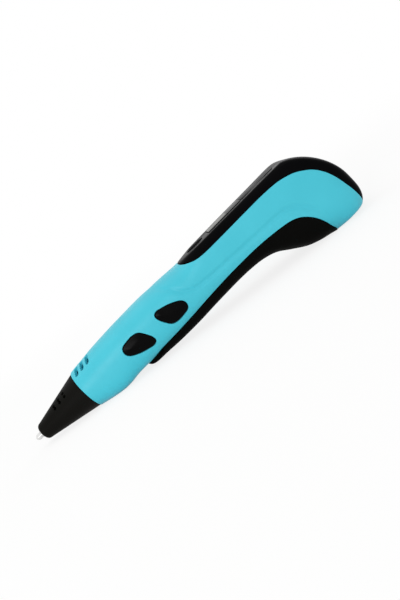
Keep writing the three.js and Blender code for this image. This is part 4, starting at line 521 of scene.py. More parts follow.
def inside_outline(outline, px, py):
    """Signed distance from places to a closed outline, above zero inside."""
    shape = np.shape(px)
    px, py = np.ravel(px), np.ravel(py)
    a = outline
    b = np.roll(outline, -1, axis=0)
    edge = b - a
    out = np.full(px.shape, -4 * BARREL_RADIUS)
    reach = np.abs(outline - outline.mean(axis=0)).max() + 2 * WALL
    near = np.hypot(*(np.stack([px, py]) - outline.mean(axis=0)[:, None])) < 1.5 * reach
    dx = px[near][:, None] - a[None, :, 0]
    dy = py[near][:, None] - a[None, :, 1]
    t = np.clip((dx * edge[:, 0] + dy * edge[:, 1]) / (edge ** 2).sum(axis=1), 0, 1)
    away = np.hypot(dx - t * edge[:, 0], dy - t * edge[:, 1]).min(axis=1)
    crosses = (a[:, 1] > py[near][:, None]) != (b[:, 1] > py[near][:, None])
    at = a[:, 0] + (py[near][:, None] - a[:, 1]) * edge[:, 0] / np.where(edge[:, 1], edge[:, 1], 1)
    inside = (crosses & (px[near][:, None] < at)).sum(axis=1) % 2 == 1
    out[near] = np.where(inside, away, -away)
    return out.reshape(shape)


def petal_outline(station, sign):
    """Outline of a feed button; the unload button is the same petal turned half round."""
    curve = closed_curve(PETAL_SHARES, PETAL_STEPS)
    half = np.array([BUTTON_LENGTH / 2, BUTTON_HEIGHT / 2])
    return sign * curve * half + np.array([station, BUTTON_LEVEL])


def mode_outline():
    """Outline of the mode button: an oval with a sharper front end."""
    angle = np.linspace(0, 2 * math.pi, MODE_SIDES, endpoint=False)
    taper = 1 - MODE_TAPER_SHARE * (1 - np.cos(angle))
    x = MODE_STATION + MODE_LENGTH / 2 * np.cos(angle)
    return np.stack([x, MODE_WIDTH / 2 * np.sin(angle) * taper], axis=-1)


LOAD_PETAL = petal_outline(LOAD_STATION, 1)
UNLOAD_PETAL = petal_outline(UNLOAD_STATION, -1)
MODE_PLAN = mode_outline()


def inside_plate(p, station, length, width):
    """Signed distance inside a rectangle with round corners on the cap's flat."""
    dx = np.abs(p[..., 0] - station) - length / 2 + CONTROL_CORNER
    dy = np.abs(p[..., 1]) - width / 2 + CONTROL_CORNER
    outside = np.hypot(np.maximum(dx, 0), np.maximum(dy, 0))
    return CONTROL_CORNER - outside - np.minimum(np.maximum(dx, dy), 0)


def inside_slot(p, index):
    """Signed distance inside a vent slot, measured along the section and the barrel."""
    angle = np.arctan2(np.abs(p[..., 1]), p[..., 2])
    height = CONE_JOINT_RADIUS * np.cos(angle)
    lean = SLOT_LEAN_SHARE * (height - CONE_JOINT_RADIUS)
    dx = p[..., 0] - SLOT_FRONT - index * SLOT_SPACING - lean
    middle = (SLOT_START + SLOT_END) / 2
    half = (SLOT_END - SLOT_START) / 2 * BARREL_RADIUS - SLOT_WIDTH / 2
    dy = np.maximum(np.abs(angle - middle) * BARREL_RADIUS - half, 0)
    return SLOT_WIDTH / 2 - np.hypot(dx, dy)


def screw_places():
    return [(along * PEN_LENGTH, up * BARREL_RADIUS) for along, up in SCREW_SHARES]


def shell_keep(side):
    """What a housing shell keeps of the skin: outside the cap, the keel and every opening."""
    def keep(p):
        x, y, z = p[..., 0], p[..., 1], p[..., 2]
        kept = soft_min(x - NOSE_JOINT, side * y - SHELL_SEAM / 2, CORNER)
        kept = soft_min(kept, -inside_cap(p), CORNER)
        kept = soft_min(kept, -inside_keel(p), CORNER)
        for index in range(SLOT_COUNT):
            kept = np.minimum(kept, -inside_slot(p, index))
        low = z < -TAIL_POINT_DROP
        for station, radius in ((INLET_STATION, INLET_RADIUS), (SOCKET_STATION, SOCKET_RADIUS)):
            away = np.hypot(x - station, y) - radius - FITTING_GAP
            kept = np.where(low, np.minimum(kept, away), kept)
        if side < 0:
            for petal in (LOAD_PETAL, UNLOAD_PETAL):
                kept = np.minimum(kept, -inside_outline(petal, x, z) - BUTTON_GAP)
        else:
            for station, level in screw_places():
                away = np.hypot(x - station, z - level) - SCREW_HEAD_RADIUS - SCREW_GAP
                kept = np.minimum(kept, away)
        return kept

    return keep


def cap_keep(p):
    x, y, z = p[..., 0], p[..., 1], p[..., 2]
    kept = inside_cap(p) - SEAM
    on_top = z > CAP_FLAT_HEIGHT / 2
    holes = np.maximum.reduce([
        inside_outline(MODE_PLAN, x, y),
        inside_plate(p, WINDOW_STATION, WINDOW_LENGTH, WINDOW_WIDTH),
        inside_plate(p, ROCKER_STATION, ROCKER_LENGTH, ROCKER_WIDTH),
    ])
    return np.where(on_top, np.minimum(kept, -holes - CONTROL_GAP), kept)


def keel_keep(p):
    return inside_keel(p) - SEAM


def cone_keep(p):
    x, y, z = p[..., 0], p[..., 1], p[..., 2]
    kept = soft_min(NOSE_JOINT - SEAM - x, np.hypot(y, z) - CONE_MOUTH_RADIUS, CORNER)
    for share in CONE_VENT_SHARES:
        for degrees in CONE_VENT_ANGLES:
            out = math.radians(degrees)
            along = y * math.sin(out) + z * math.cos(out)
            across = y * math.cos(out) - z * math.sin(out)
            away = np.hypot(x - CONE_TIP - share * (NOSE_JOINT - CONE_TIP), across)
            kept = np.where(along > 0, np.minimum(kept, away - CONE_VENT_RADIUS), kept)
    return kept


def straight(direction):
    """A wall that runs the same way everywhere."""
    return lambda p, n: np.broadcast_to(np.array(direction, dtype=float), p.shape)


def inwards(p, n):
    """A wall that runs square to the skin."""
    return -n


def shell_wall(p, n):
    """Square to the skin, but along the buttons' travel at their openings."""
    near = np.maximum(
        inside_outline(LOAD_PETAL, p[..., 0], p[..., 2]),
        inside_outline(UNLOAD_PETAL, p[..., 0], p[..., 2]),
    )
    at_button = ((near > -WALL) & (p[..., 1] < 0))[..., None]
    return np.where(at_button, np.array([0.0, 1.0, 0.0]), -n)


def skin_normals(surface, u, v, flip):
    along_u = surface(u + NUDGE, v) - surface(u - NUDGE, v)
    along_v = surface(u, v + NUDGE) - surface(u, v - NUDGE)
    normal = np.cross(along_v, along_u) * (-1 if flip else 1)
    return normal / np.maximum(np.linalg.norm(normal, axis=-1, keepdims=True), NO_LENGTH)


def snapped(surface, value, u, v, step):
    """Moves grid points that lie close to the edge onto it, so that no slivers are left."""
    held = value(surface(u, v))
    slope_u = (value(surface(u + NUDGE, v)) - value(surface(u - NUDGE, v))) / (2 * NUDGE)
    slope_v = (value(surface(u, v + NUDGE)) - value(surface(u, v - NUDGE))) / (2 * NUDGE)
    steep = np.maximum(slope_u ** 2 + slope_v ** 2, NO_SLOPE)
    near = (np.abs(held) / np.sqrt(steep) < SNAP_SHARE * step) & (steep > LEAST_STEEP)
    u = np.where(near, u - held * slope_u / steep, u)
    v = np.where(near, v - held * slope_v / steep, v)
    held = value(surface(u, v))
    return u, v, np.where(near & (np.abs(held) < SNAPPED_SHARE * step), 0.0, held)


def cut_faces(held, wrap, closed_end):
    """Faces of a grid where the held value is not below zero, and the grid edges that they cut."""
    rows, columns = held.shape
    inside = held >= 0
    faces = []
    cuts = {}

    def corner_list(i, j):
        k = (j + 1) % columns
        return [(i, j), (i, k), (i + 1, k), (i + 1, j)]

    for i in range(rows - 1):
        for j in range(columns if wrap else columns - 1):
            corners = corner_list(i, j)
            kept = [inside[c] for c in corners]
            if not any(kept):
                continue
            face = []
            for k in range(4):
                here, there = corners[k], corners[(k + 1) % 4]
                if kept[k]:
                    face.append(here)
                if kept[k] != kept[(k + 1) % 4]:
                    within, beyond = (here, there) if kept[k] else (there, here)
                    if held[within] > 0:
                        cuts[(within, beyond)] = True
                        face.append((within, beyond))
            if len(face) > 2:
                faces.append(face)
    if closed_end:
        faces.append([(rows - 1, j) for j in range(columns)])
    return faces, list(cuts)


def cut_places(surface, value, u, v, cuts):
    """Where the cut grid edges cross the skin's edge."""
    if not cuts:
        return np.zeros(0), np.zeros(0)
    within = tuple(np.array([a for a, _ in cuts]).T)
    beyond = tuple(np.array([b for _, b in cuts]).T)
    u0, v0, u1, v1 = u[within], v[within], u[beyond], v[beyond]
    v1 = v1 + ONCE_ROUND * np.round((v0 - v1) / ONCE_ROUND)
    low = np.zeros(len(cuts))
    high = np.ones(len(cuts))
    for _ in range(CUT_HALVINGS):
        middle = (low + high) / 2
        kept = value(surface(u0 + (u1 - u0) * middle, v0 + (v1 - v0) * middle)) >= 0
        low = np.where(kept, middle, low)
        high = np.where(kept, high, middle)
    return u0 + (u1 - u0) * low, v0 + (v1 - v0) * low


def edge_pull(keep, p, n):
    """The way from the skin's edge across its seam, in the skin's own plane."""
    pull = np.zeros_like(p)
    for axis in range(3):
        shift = np.zeros(3)
        shift[axis] = NUDGE
        pull[:, axis] = keep(p - shift) - keep(p + shift)
    pull -= (pull * n).sum(axis=1, keepdims=True) * n
    return pull / np.maximum(np.linalg.norm(pull, axis=1, keepdims=True), NO_LENGTH)


def moulding(surface, stations, arcs, keep, lip, wall, way=inwards, flip=False, wrap=False,
             closed_end=False):
    """A closed moulded wall: the skin inside its edge, a rounded lip, the wall behind it and the
    inner skin. Gives places, normals and faces."""
    u, v = np.meshgrid(stations, arcs, indexing="ij")
    step = min(np.diff(stations).max(), np.diff(arcs).max())

    def value(p):
        return keep(p) - lip

    u, v, held = snapped(surface, value, u, v, step)
    grid_faces, cuts = cut_faces(held, wrap, closed_end)
    cut_u, cut_v = cut_places(surface, value, u, v, cuts)
    used = sorted({c for face in grid_faces for c in face if isinstance(c[0], (int, np.integer))})
    number = {corner: k for k, corner in enumerate(used)}
    number.update({cut: len(used) + k for k, cut in enumerate(cuts)})
    picked = tuple(np.array(used).T)
    all_u = np.concatenate([u[picked], cut_u])
    all_v = np.concatenate([v[picked], cut_v])
    p = surface(all_u, all_v)
    n = skin_normals(surface, all_u, all_v, flip)
    if closed_end:
        last = [number[(held.shape[0] - 1, j)] for j in range(held.shape[1])]
        n[last] = (1.0, 0.0, 0.0)
    faces = [[number[c] for c in face] for face in grid_faces]
    if flip:
        faces = [face[::-1] for face in faces]
    return walled(p, n, faces, keep, lip, wall, way)


def walled(p, n, faces, keep, lip, wall, way):
    """Rolls the open edges of a skin over a lip and closes it with a wall and an inner skin."""
    edges = {(face[k - 1], face[k]) for face in faces for k in range(len(face))}
    rim = [(a, b) for a, b in edges if (b, a) not in edges]
    rim_points = sorted({a for a, _ in rim})
    order = {a: k for k, a in enumerate(rim_points)}
    count = len(rim_points)
    rim_p, rim_n = p[rim_points], n[rim_points]
    pull = edge_pull(keep, rim_p, rim_n)
    places, normals = [p], [n]
    for k in range(1, LIP_STEPS + 1):
        turn = k / LIP_STEPS * math.pi / 2
        places.append(rim_p + lip * math.sin(turn) * pull - lip * (1 - math.cos(turn)) * rim_n)
        normals.append(math.cos(turn) * rim_n + math.sin(turn) * pull)
    places.append(places[-1] + (wall - lip) * way(rim_p, rim_n))
    normals.append(pull)
    places.append(p + wall * way(p, n))
    normals.append(-n)
    start = len(p)
    inner = start + (LIP_STEPS + 1) * count

    def row(level, a):
        if level == 0:
            return a
        if level > LIP_STEPS + 1:
            return inner + a
        return start + (level - 1) * count + order[a]

    all_faces = list(faces)
    for a, b in rim:
        for level in range(LIP_STEPS + 2):
            quad = [row(level, b), row(level, a), row(level + 1, a), row(level + 1, b)]
            all_faces.append(quad)
    all_faces += [[inner + a for a in face[::-1]] for face in faces]
    return np.concatenate(places), np.concatenate(normals), all_faces


def in_frame(vectors):
    """Turns vectors from the barrel's axes into the frame's."""
    x_axis = np.array([math.cos(REST_TILT), 0, math.sin(REST_TILT)])
    z_axis = np.array([-math.sin(REST_TILT), 0, math.cos(REST_TILT)])
    y_axis = np.array([0.0, 1.0, 0.0])
    return (vectors[:, :1] * x_axis + vectors[:, 1:2] * y_axis + vectors[:, 2:] * z_axis)


def add_mesh(name, places, faces, material, normals=None):
    """A mesh object at the frame's origin, from places in the barrel's axes."""
    points = (in_frame(np.asarray(places)) + np.array(BARREL_ORIGIN)) / 1000
    points[:, 2] = np.maximum(points[:, 2], 0)
    mesh = bpy.data.meshes.new(name)
    mesh.from_pydata(points.tolist(), [], faces)
    mesh.polygons.foreach_set("use_smooth", [True] * len(mesh.polygons))
    if normals is not None:
        turned = in_frame(normals)
        turned /= np.maximum(np.linalg.norm(turned, axis=1, keepdims=True), NO_LENGTH)
        mesh.normals_split_custom_set_from_vertices(turned.tolist())
    mesh.materials.append(material)
    piece = bpy.data.objects.new(name, mesh)
    bpy.context.scene.collection.objects.link(piece)
    return piece


def sharpen(piece):
    """Marks the edges where a lathed piece turns sharply."""
    mesh = piece.data
    faces_at = {}
    for polygon in mesh.polygons:
        for key in polygon.edge_keys:
            faces_at.setdefault(key, []).append(polygon.normal)
    sharp = []
    for edge in mesh.edges:
        sides = faces_at.get(tuple(sorted(edge.vertices)), [])
        sharp.append(len(sides) == 2 and sides[0].angle(sides[1], 0) > SHARP_TURN)
    mesh.attributes.new("sharp_edge", "BOOLEAN", "EDGE").data.foreach_set("value", sharp)


def stand_for(piece, body, slot, *nodes):
    """Ties a finished piece to its body and hides the CAD nodes that it stands for; its slot is not
    used.
    """
    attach(piece, body)
    if nodes:
        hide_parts(*nodes)


# Materials


def linear(hex_colour):
    """An sRGB hex colour as the linear colour that a node takes."""
    parts = [int(hex_colour[i:i + 2], 16) / 255 for i in (1, 3, 5)]
    return tuple(c / 12.92 if c <= 0.04045 else ((c + 0.055) / 1.055) ** 2.4
                 for c in parts) + (1.0,)


def per_metre(size):
    """The scale of a pattern on Object coordinates whose features are this many millimetres."""
    return 1000 / size


def add(tree, kind, inputs=None, **settings):
    """Adds a node with its settings, and fills its inputs with values or other nodes' outputs."""
    node = tree.nodes.new(kind)
    for key, value in settings.items():
        setattr(node, key, value)
    for key, value in (inputs or {}).items():
        if isinstance(value, bpy.types.NodeSocket):
            tree.links.new(value, node.inputs[key])
        else:
            node.inputs[key].default_value = value
    return node


def new_material(name, *clouds):
    """An empty node material, the Object coordinates that its patterns read, and a cloudy pattern
    from 0 to 1 for each pair of a patch size in millimetres and an amount of detail."""
    material = bpy.data.materials.new(name)
    material.use_nodes = True
    tree = material.node_tree
    tree.nodes.clear()
    coords = add(tree, "ShaderNodeTexCoord").outputs["Object"]
    patterns = []
    for size, detail in clouds:
        noise = add(tree, "ShaderNodeTexNoise", {
            "Vector": coords, "Scale": per_metre(size), "Detail": detail,
            "Roughness": CLOUD_ROUGHNESS})
        patterns.append(noise.outputs["Fac"])
    return material, tree, coords, patterns


def shade(tree, colours, gloss, relief=None, extra=None):
    """The surface shader of a material, joined to its output. Along a pattern each, its colour
    runs between two hex colours, its roughness between two numbers, and its relief to a depth in
    millimetres."""
    pattern, low, high = colours
    tint = add(tree, "ShaderNodeMix", {
        0: pattern, 6: linear(low), 7: linear(high) if isinstance(high, str) else high},
        data_type="RGBA")
    pattern, low, high = gloss
    rough = add(tree, "ShaderNodeMapRange", {
        "Value": pattern, "From Min": 0.3, "From Max": 0.7, "To Min": low, "To Max": high})
    inputs = {"Base Color": tint.outputs[2], "Roughness": rough.outputs["Result"]}
    if relief:
        pattern, depth = relief
        bump = add(tree, "ShaderNodeBump", {
            "Height": pattern, "Distance": depth / 1000, "Strength": 1.0})
        inputs["Normal"] = bump.outputs["Normal"]
    inputs.update(extra or {})
    shader = add(tree, "ShaderNodeBsdfPrincipled", inputs)
    add(tree, "ShaderNodeOutputMaterial", {"Surface": shader.outputs["BSDF"]})


def moulded_plastic(name, low, high, rough, grain_size, grain_depth, extra=None):
    """A moulded thermoplastic: colour and gloss that drift a little, over a fine mould texture."""
    material, tree, _, (drift, sheen, grain) = new_material(
        name, (DRIFT_SIZE, 2), (SHEEN_SIZE, 3), (grain_size, 1))
    shade(tree, (drift, low, high), (sheen, *rough), (grain, grain_depth),
          {"IOR": 1.5, **(extra or {})})
    return material


def turned_metal(name, low, high, rough, line_size, line_depth):
    """A turned or drawn metal: fine lines round or along the piece and a little tarnish."""
    material, tree, coords, (tarnish,) = new_material(name, (TARNISH_SIZE, 3))
    stretched = add(tree, "ShaderNodeMapping", {
        "Vector": coords, "Scale": (LINE_STRETCH_SHARE, 1.0, 1.0)})
    lines = add(tree, "ShaderNodeTexNoise", {
        "Vector": stretched.outputs["Vector"], "Scale": per_metre(line_size), "Detail": 3.0,
        "Roughness": CLOUD_ROUGHNESS}).outputs["Fac"]
    shade(tree, (tarnish, low, high), (lines, *rough), (lines, line_depth), {"Metallic": 1.0})
    return material


def satin_blue_abs():
    """Moulded ABS with a fine spark-eroded texture: a soft, broad highlight and an even blue.
    The real grain is about 0.1 mm; it is drawn at 0.4 mm so that it shows."""
    return moulded_plastic("abs_satin_moulded_blue", "#41bbce", "#4dc8da", (0.36, 0.46),
                           0.4, 0.006, {"Specular IOR Level": 0.25})


def polished_black_abs():
    """Polished black ABS: a deep black whose reflections are held low, with faint haze."""
    return moulded_plastic("abs_polished_black", "#070708", "#0d0d0e", (0.18, 0.3), 1.6, 0.002,
                           {"Specular IOR Level": 0.006})


def domed_black_abs():
    """The feed buttons' polished black ABS: the same moulding with a slight haze of use, which
    gives their domes a soft highlight."""
    return moulded_plastic("abs_polished_black_hazed", "#030303", "#060606", (0.2, 0.3), 1.2,
                           0.002, {"Specular IOR Level": 0.04})


def soft_touch_black():
    """Soft-touch TPE over-moulding: matt black with a leathery grain of 0.5 mm."""
    return moulded_plastic("tpe_soft_touch_black", "#050504", "#0a0a09", (0.55, 0.7), 0.5, 0.02,
                           {"Specular IOR Level": 0.02})


def cone_black_nylon():
    """Glass-filled nylon, moulded: a dark satin grey-black with a slightly rough skin."""
    return moulded_plastic("nylon_glass_filled_moulded", "#0b0b08", "#131210", (0.42, 0.55),
                           0.6, 0.012, {"Specular IOR Level": 0.04})


def fan_black_pbt():
    """Moulded PBT of the fan: plain black with a little shine."""
    return moulded_plastic("pbt_moulded_black", "#0e0e0f", "#171718", (0.35, 0.5), 0.5, 0.005)


def natural_nylon():
    """Natural nylon, moulded: creamy white, slightly waxy."""
    return moulded_plastic("nylon_natural_moulded", "#cfcabb", "#dedacd", (0.4, 0.5), 0.8, 0.004)


def drawn_ptfe():
    """Drawn PTFE tube: milky white with a greasy sheen."""
    return moulded_plastic("ptfe_drawn_tube", "#e4e4de", "#f0f0ec", (0.3, 0.42), 1.2, 0.002)


def sintered_zirconia():
    """Sintered zirconia: a cool off-white, faintly speckled, with a glassy skin."""
    material, tree, _, (speckle,) = new_material("zirconia_sintered", (0.8, 3))
    shade(tree, (speckle, "#d3d3d2", "#e0e0df"), (speckle, 0.2, 0.34), (speckle, 0.003),
          {"Coat Weight": 0.25, "Coat Roughness": 0.12, "IOR": 1.9})
    return material


def amber_polyimide():
    """Polyimide film wound in laps 3 mm wide: a clear amber gloss with a darker lap edge."""
    material, tree, coords, (scuffs,) = new_material("polyimide_film_wound", (1.5, 2))
    laps = add(tree, "ShaderNodeTexWave", {
        "Vector": coords, "Scale": per_metre(LAP_WIDTH) / 20, "Distortion": 0.4,
        "Detail": 1.0}, wave_profile="SAW").outputs["Fac"]
    shade(tree, (laps, "#8a5a1c", "#b9823a"), (scuffs, 0.2, 0.35), (laps, 0.03))
    return material


def turned_brass():
    """Brass, turned and hobbed: warm yellow with cutter lines 0.15 mm apart."""
    return turned_metal("brass_turned", "#a88945", "#c6a661", (0.22, 0.4), 0.15, 0.004)


def plated_steel():
    """Nickel-plated steel: cool grey with drawn lines 0.2 mm apart."""
    return turned_metal("steel_nickel_plated", "#a9abae", "#c8cacd", (0.2, 0.36), 0.2, 0.003)


def green_board():
    """FR4 board under green solder mask: copper tracks 0.3 mm wide show as paler lines."""
    material, tree, coords, (haze,) = new_material("fr4_solder_mask", (4, 2))
    line = add(tree, "ShaderNodeTexBrick", {
        "Vector": coords, "Scale": 1.0, "Mortar Size": TRACK_MARGIN / 1000,
        "Brick Width": TRACK_RUN / 1000, "Row Height": TRACK_SPACING / 1000,
        "Mortar Smooth": 0.1, "Color1": (0, 0, 0, 1), "Color2": (0, 0, 0, 1),
        "Mortar": (1, 1, 1, 1)}).outputs["Fac"]
    shade(tree, (line, "#14472b", "#2c7a4c"), (haze, 0.28, 0.4), (line, 0.035),
          {"Coat Weight": 0.3, "Coat Roughness": 0.15})
    return material


def silicone_insulation():
    """Silicone insulation, extruded: a dull red with faint drag marks."""
    return moulded_plastic("silicone_extruded_red", "#8d1d1a", "#a82a24", (0.45, 0.6), 0.7, 0.01)


def black_insulation():
    """The other wire of each pair, in black silicone."""
    return moulded_plastic("silicone_extruded_black", "#141414", "#1f1f1f", (0.45, 0.6), 0.7, 0.01)


def smoked_window():
    """Smoked acrylic over a grey display: a black mirror with a paler pane behind its front
    half. The pane's cells, really 0.15 mm wide, are drawn 0.5 mm wide so that they show."""
    material, tree, coords, (smears,) = new_material("acrylic_smoked_window", (5, 2))
    origin = in_frame(np.array([[WINDOW_STATION - PANE_AHEAD, 0, CAP_FLAT_HEIGHT]]))[0]
    place = (origin + np.array(BARREL_ORIGIN)) / 1000
    local = add(tree, "ShaderNodeMapping", {
        "Vector": coords, "Location": tuple(place), "Rotation": (0, -REST_TILT, 0)},
        vector_type="TEXTURE").outputs["Vector"]
    split = add(tree, "ShaderNodeSeparateXYZ", {"Vector": local})
    inside = []
    for axis, size in (("X", PANE_LENGTH), ("Y", PANE_WIDTH)):
        away = add(tree, "ShaderNodeMath", {0: split.outputs[axis]}, operation="ABSOLUTE")
        fade = add(tree, "ShaderNodeMapRange", {
            "Value": away.outputs[0], "From Min": size / 2 / 1000,
            "From Max": (size / 2 + PANE_EDGE) / 1000, "To Min": 1.0, "To Max": 0.0})
        inside.append(fade.outputs["Result"])
    pane = add(tree, "ShaderNodeMath", {0: inside[0], 1: inside[1]}, operation="MULTIPLY")
    cells = add(tree, "ShaderNodeTexBrick", {
        "Vector": local, "Scale": 1.0, "Mortar Size": CELL_GAP / 1000,
        "Brick Width": CELL_SIZE / 1000, "Row Height": CELL_SIZE / 1000, "Mortar Smooth": 0.2},
        offset=0.0).outputs["Fac"]
    grey = add(tree, "ShaderNodeMix", {0: cells, 6: linear("#7e7d79"), 7: linear("#6f6f6b")},
               data_type="RGBA")
    shade(tree, (pane.outputs[0], "#111212", grey.outputs[2]), (smears, 0.12, 0.2), None,
          {"Specular IOR Level": 0.008, "IOR": 1.49})
    return material


def display_glass():
    """The display module behind the window: bare glass, grey-green."""
    return moulded_plastic("glass_display_module", "#3a3f3c", "#474c48", (0.1, 0.18), 3.0, 0.001)


MATERIALS = {
    "blue": satin_blue_abs(),
    "gloss": polished_black_abs(),
    "petal": domed_black_abs(),
    "soft": soft_touch_black(),
    "cone": cone_black_nylon(),
    "fan": fan_black_pbt(),
    "nylon": natural_nylon(),
    "ptfe": drawn_ptfe(),
    "ceramic": sintered_zirconia(),
    "amber": amber_polyimide(),
    "brass": turned_brass(),
    "steel": plated_steel(),
    "board": green_board(),
    "lead": silicone_insulation(),
    "black lead": black_insulation(),
    "window": smoked_window(),
    "display": display_glass(),
}

# Which CAD nodes each material goes to
MATERIAL_NODES = {
    "blue": ("left_shell", "right_shell"),
    "gloss": ("display_cap", "load_button", "unload_button", "mode_button", "speed_rocker"),
    "soft": ("grip_keel", "filament_inlet", "power_socket", "motor_end_cap"),
    "cone": ("nose_cone",),
    "window": ("display_window",),
    "display": ("display_module",),
    "ceramic": ("nozzle", "heater_tube"),
    "amber": ("heat_sleeve", "thermistor"),
    "nylon": ("hot_end_holder", "drive_carrier"),
    "ptfe": ("front_guide_tube", "rear_guide_tube"),
    "brass": ("gearbox", "drive_pinion", "feed_spindle", "front_bush", "rear_bush"),
    "steel": (
        "motor_can", "output_shaft", "load_switch", "unload_switch", "mode_switch",
        "minus_switch", "plus_switch", "rocker_pin", "shell_screw_1", "shell_screw_2",
        "shell_screw_3", "shell_screw_4",
    ),
    "fan": ("fan_frame", "fan_rotor"),
    "board": ("side_board", "main_board"),
    "lead": ("heater_lead", "fan_lead", "switch_lead", "motor_lead", "socket_lead"),
}


def finish_nodes():
    """Gives every CAD node its own finished material."""
    for kind, names in MATERIAL_NODES.items():
        for name in names:
            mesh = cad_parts[name].data
            mesh.materials.clear()
            mesh.materials.append(MATERIALS[kind])


# Housing


def span(low, high, step):
    """Evenly spread places from low to high, no further apart than a step."""
    return np.linspace(low, high, max(2, math.ceil((high - low) / step) + 1))


def mould(name, material, stands, *form, **options):
    """Moulds a piece, adds it to the scene, ties it to its body and hides the CAD nodes that it
    stands for."""
    places, normals, faces = moulding(*form, **options)
    stand_for(add_mesh(name, places, faces, MATERIALS[material], normals), *stands)


def body_stations():
    """Stations along the housing, closer together where the tail closes."""
    tail = TAIL_ROUND_SHARE * PEN_LENGTH
    turn = np.linspace(0, math.pi / 2, TAIL_RINGS + 1)[1:]
    turn[-1] -= 0.5 * (turn[1] - turn[0])
    closing = tail + (PEN_LENGTH - tail) * np.sin(turn) ** (2 / TAIL_SIDE_ROUNDNESS)
    return np.concatenate([span(NOSE_JOINT - 2 * WALL, tail, SKIN_STEP), closing])


def body_arcs():
    count = math.ceil(2 * ONCE_ROUND / SKIN_STEP / 2) * 2
    return np.linspace(0, ONCE_ROUND, count, endpoint=False)


def build_shell(name, side):
    mould(name + "_skin", "blue", ("housing", "shell", name), body_surface, body_stations(),
          body_arcs(), shell_keep(side), LIP, WALL, way=shell_wall, wrap=True)


def build_slot_floor():
    """The blue floor that closes the vent slots below the skin, so that they read as pockets."""
    def surface(station, arc):
        p = body_surface(station, arc)
        return p - SLOT_DEPTH * skin_normals(body_surface, station, arc, False)

    def keep(p):
        last = SLOT_FRONT + SLOT_COUNT * SLOT_SPACING
        return np.minimum(p[..., 0] - SLOT_FRONT + 2 * SLOT_WIDTH, last - p[..., 0])

    reach = SLOT_END * BARREL_RADIUS + WALL
    middle = math.pi / 2 * BARREL_RADIUS
    mould("vent_slot_floor", "blue", ("housing", "shell"), surface,
          span(SLOT_FRONT - 4 * SLOT_WIDTH, SLOT_FRONT + SLOT_FLOOR_LENGTH, SKIN_STEP),
          span(middle - reach, middle + reach, SKIN_STEP), keep, LIP / 2, WALL / 2)


def build_cap():
    stations = body_stations()
    stations = stations[stations > CAP_EDGE_SHARES[0][0] * PEN_LENGTH - 2 * WALL]
    mould("display_cap_skin", "gloss", ("housing", "gloss_black", "display_cap"), body_surface,
          stations, body_arcs(), cap_keep, LIP, WALL, wrap=True, closed_end=True)


def build_keel():
    first, last = (KEEL_EDGE_SHARES[i][0] * PEN_LENGTH for i in (0, -1))
    reach = BARREL_RADIUS * math.pi / 2 + WALL
    mould("grip_keel_skin", "soft", ("housing", "soft_black", "grip_keel"), keel_surface,
          span(first - WALL, last + WALL, SKIN_STEP), span(-reach, reach, SKIN_STEP / 2),
          keel_keep, KEEL_LIP, KEEL_WALL)


def build_cone():
    reach = math.hypot(NOSE_JOINT - CONE_TIP, CONE_JOINT_RADIUS) + CONE_TIP_ROUND
    mould("nose_cone_skin", "cone", ("housing", "nose_black", "nose_cone"), cone_surface,
          span(CONE_MOUTH_RADIUS / 2, reach, SKIN_STEP / 2), body_arcs(), cone_keep,
          CONE_LIP, CONE_WALL, wrap=True)


# Keys and window


def build_button(name, petal):
    """A glossy petal that follows the housing and rises to its middle."""
    def surface(x, z):
        rise = smooth_step(inside_outline(petal, x, z) / BUTTON_DOME)
        proud = BUTTON_PROUD * (BUTTON_EDGE_SHARE + (1 - BUTTON_EDGE_SHARE) * rise)
        return np.stack([x + 0 * z, -half_width_at(x, z) - proud, z + 0 * x], axis=-1)

    def keep(p):
        return inside_outline(petal, p[..., 0], p[..., 2])

    low, high = petal.min(axis=0) - BUTTON_GAP, petal.max(axis=0) + BUTTON_GAP
    mould(name + "_petal", "petal", (name, "gloss_black", name), surface,
          span(low[0], high[0], KEY_STEP), span(low[1], high[1], KEY_STEP), keep,
          BUTTON_LIP, WALL + BUTTON_PROUD, way=straight((0, 1, 0)), flip=True)


def build_key(name, body, slot, material, height, keep, extent, lip):
    """A key or pane on the cap's flat, from its height over the flat and its outline."""
    def surface(x, y):
        return np.stack([x + 0 * y, y + 0 * x, CAP_FLAT_HEIGHT + height(x, y)], axis=-1)

    station, length, width = extent
    mould(name + "_key", material, (body, slot, name), surface,
          span(station - length / 2 - LIP, station + length / 2 + LIP, KEY_STEP),
          span(-width / 2 - LIP, width / 2 + LIP, KEY_STEP), keep, lip, CONTROL_DEPTH,
          way=straight((0, 0, -1)), flip=True)


def build_controls():
    def mode_height(x, y):
        rise = smooth_step(inside_outline(MODE_PLAN, x, y) / (MODE_WIDTH / 3))
        return MODE_PROUD * (MODE_EDGE_SHARE + (1 - MODE_EDGE_SHARE) * rise)

    def mode_keep(p):
        return inside_outline(MODE_PLAN, p[..., 0], p[..., 1])

    build_key("mode_button", "mode_button", "gloss_black", "gloss", mode_height, mode_keep,
              (MODE_STATION, MODE_LENGTH, MODE_WIDTH), LIP)

    def window_height(x, y):
        return WINDOW_PROUD - WINDOW_CROWN * (2 * y / WINDOW_WIDTH) ** 2 + 0 * x

    build_key("display_window", "housing", "window", "window", window_height,
              lambda p: inside_plate(p, WINDOW_STATION, WINDOW_LENGTH, WINDOW_WIDTH),
              (WINDOW_STATION, WINDOW_LENGTH, WINDOW_WIDTH), LIP / 2)

    def rocker_height(x, y):
        along = 2 * (x - ROCKER_STATION) / ROCKER_LENGTH
        crown = ROCKER_CROWN * (2 * y / ROCKER_WIDTH) ** 2
        return ROCKER_PROUD - ROCKER_DISH * np.exp(-(ROCKER_DISH_STEEPNESS * along) ** 2) - crown

    build_key("speed_rocker", "speed_rocker", "gloss_black", "gloss", rocker_height,
              lambda p: inside_plate(p, ROCKER_STATION, ROCKER_LENGTH, ROCKER_WIDTH),
              (ROCKER_STATION, ROCKER_LENGTH, ROCKER_WIDTH), LIP)


# Nozzle and the fittings in the tail



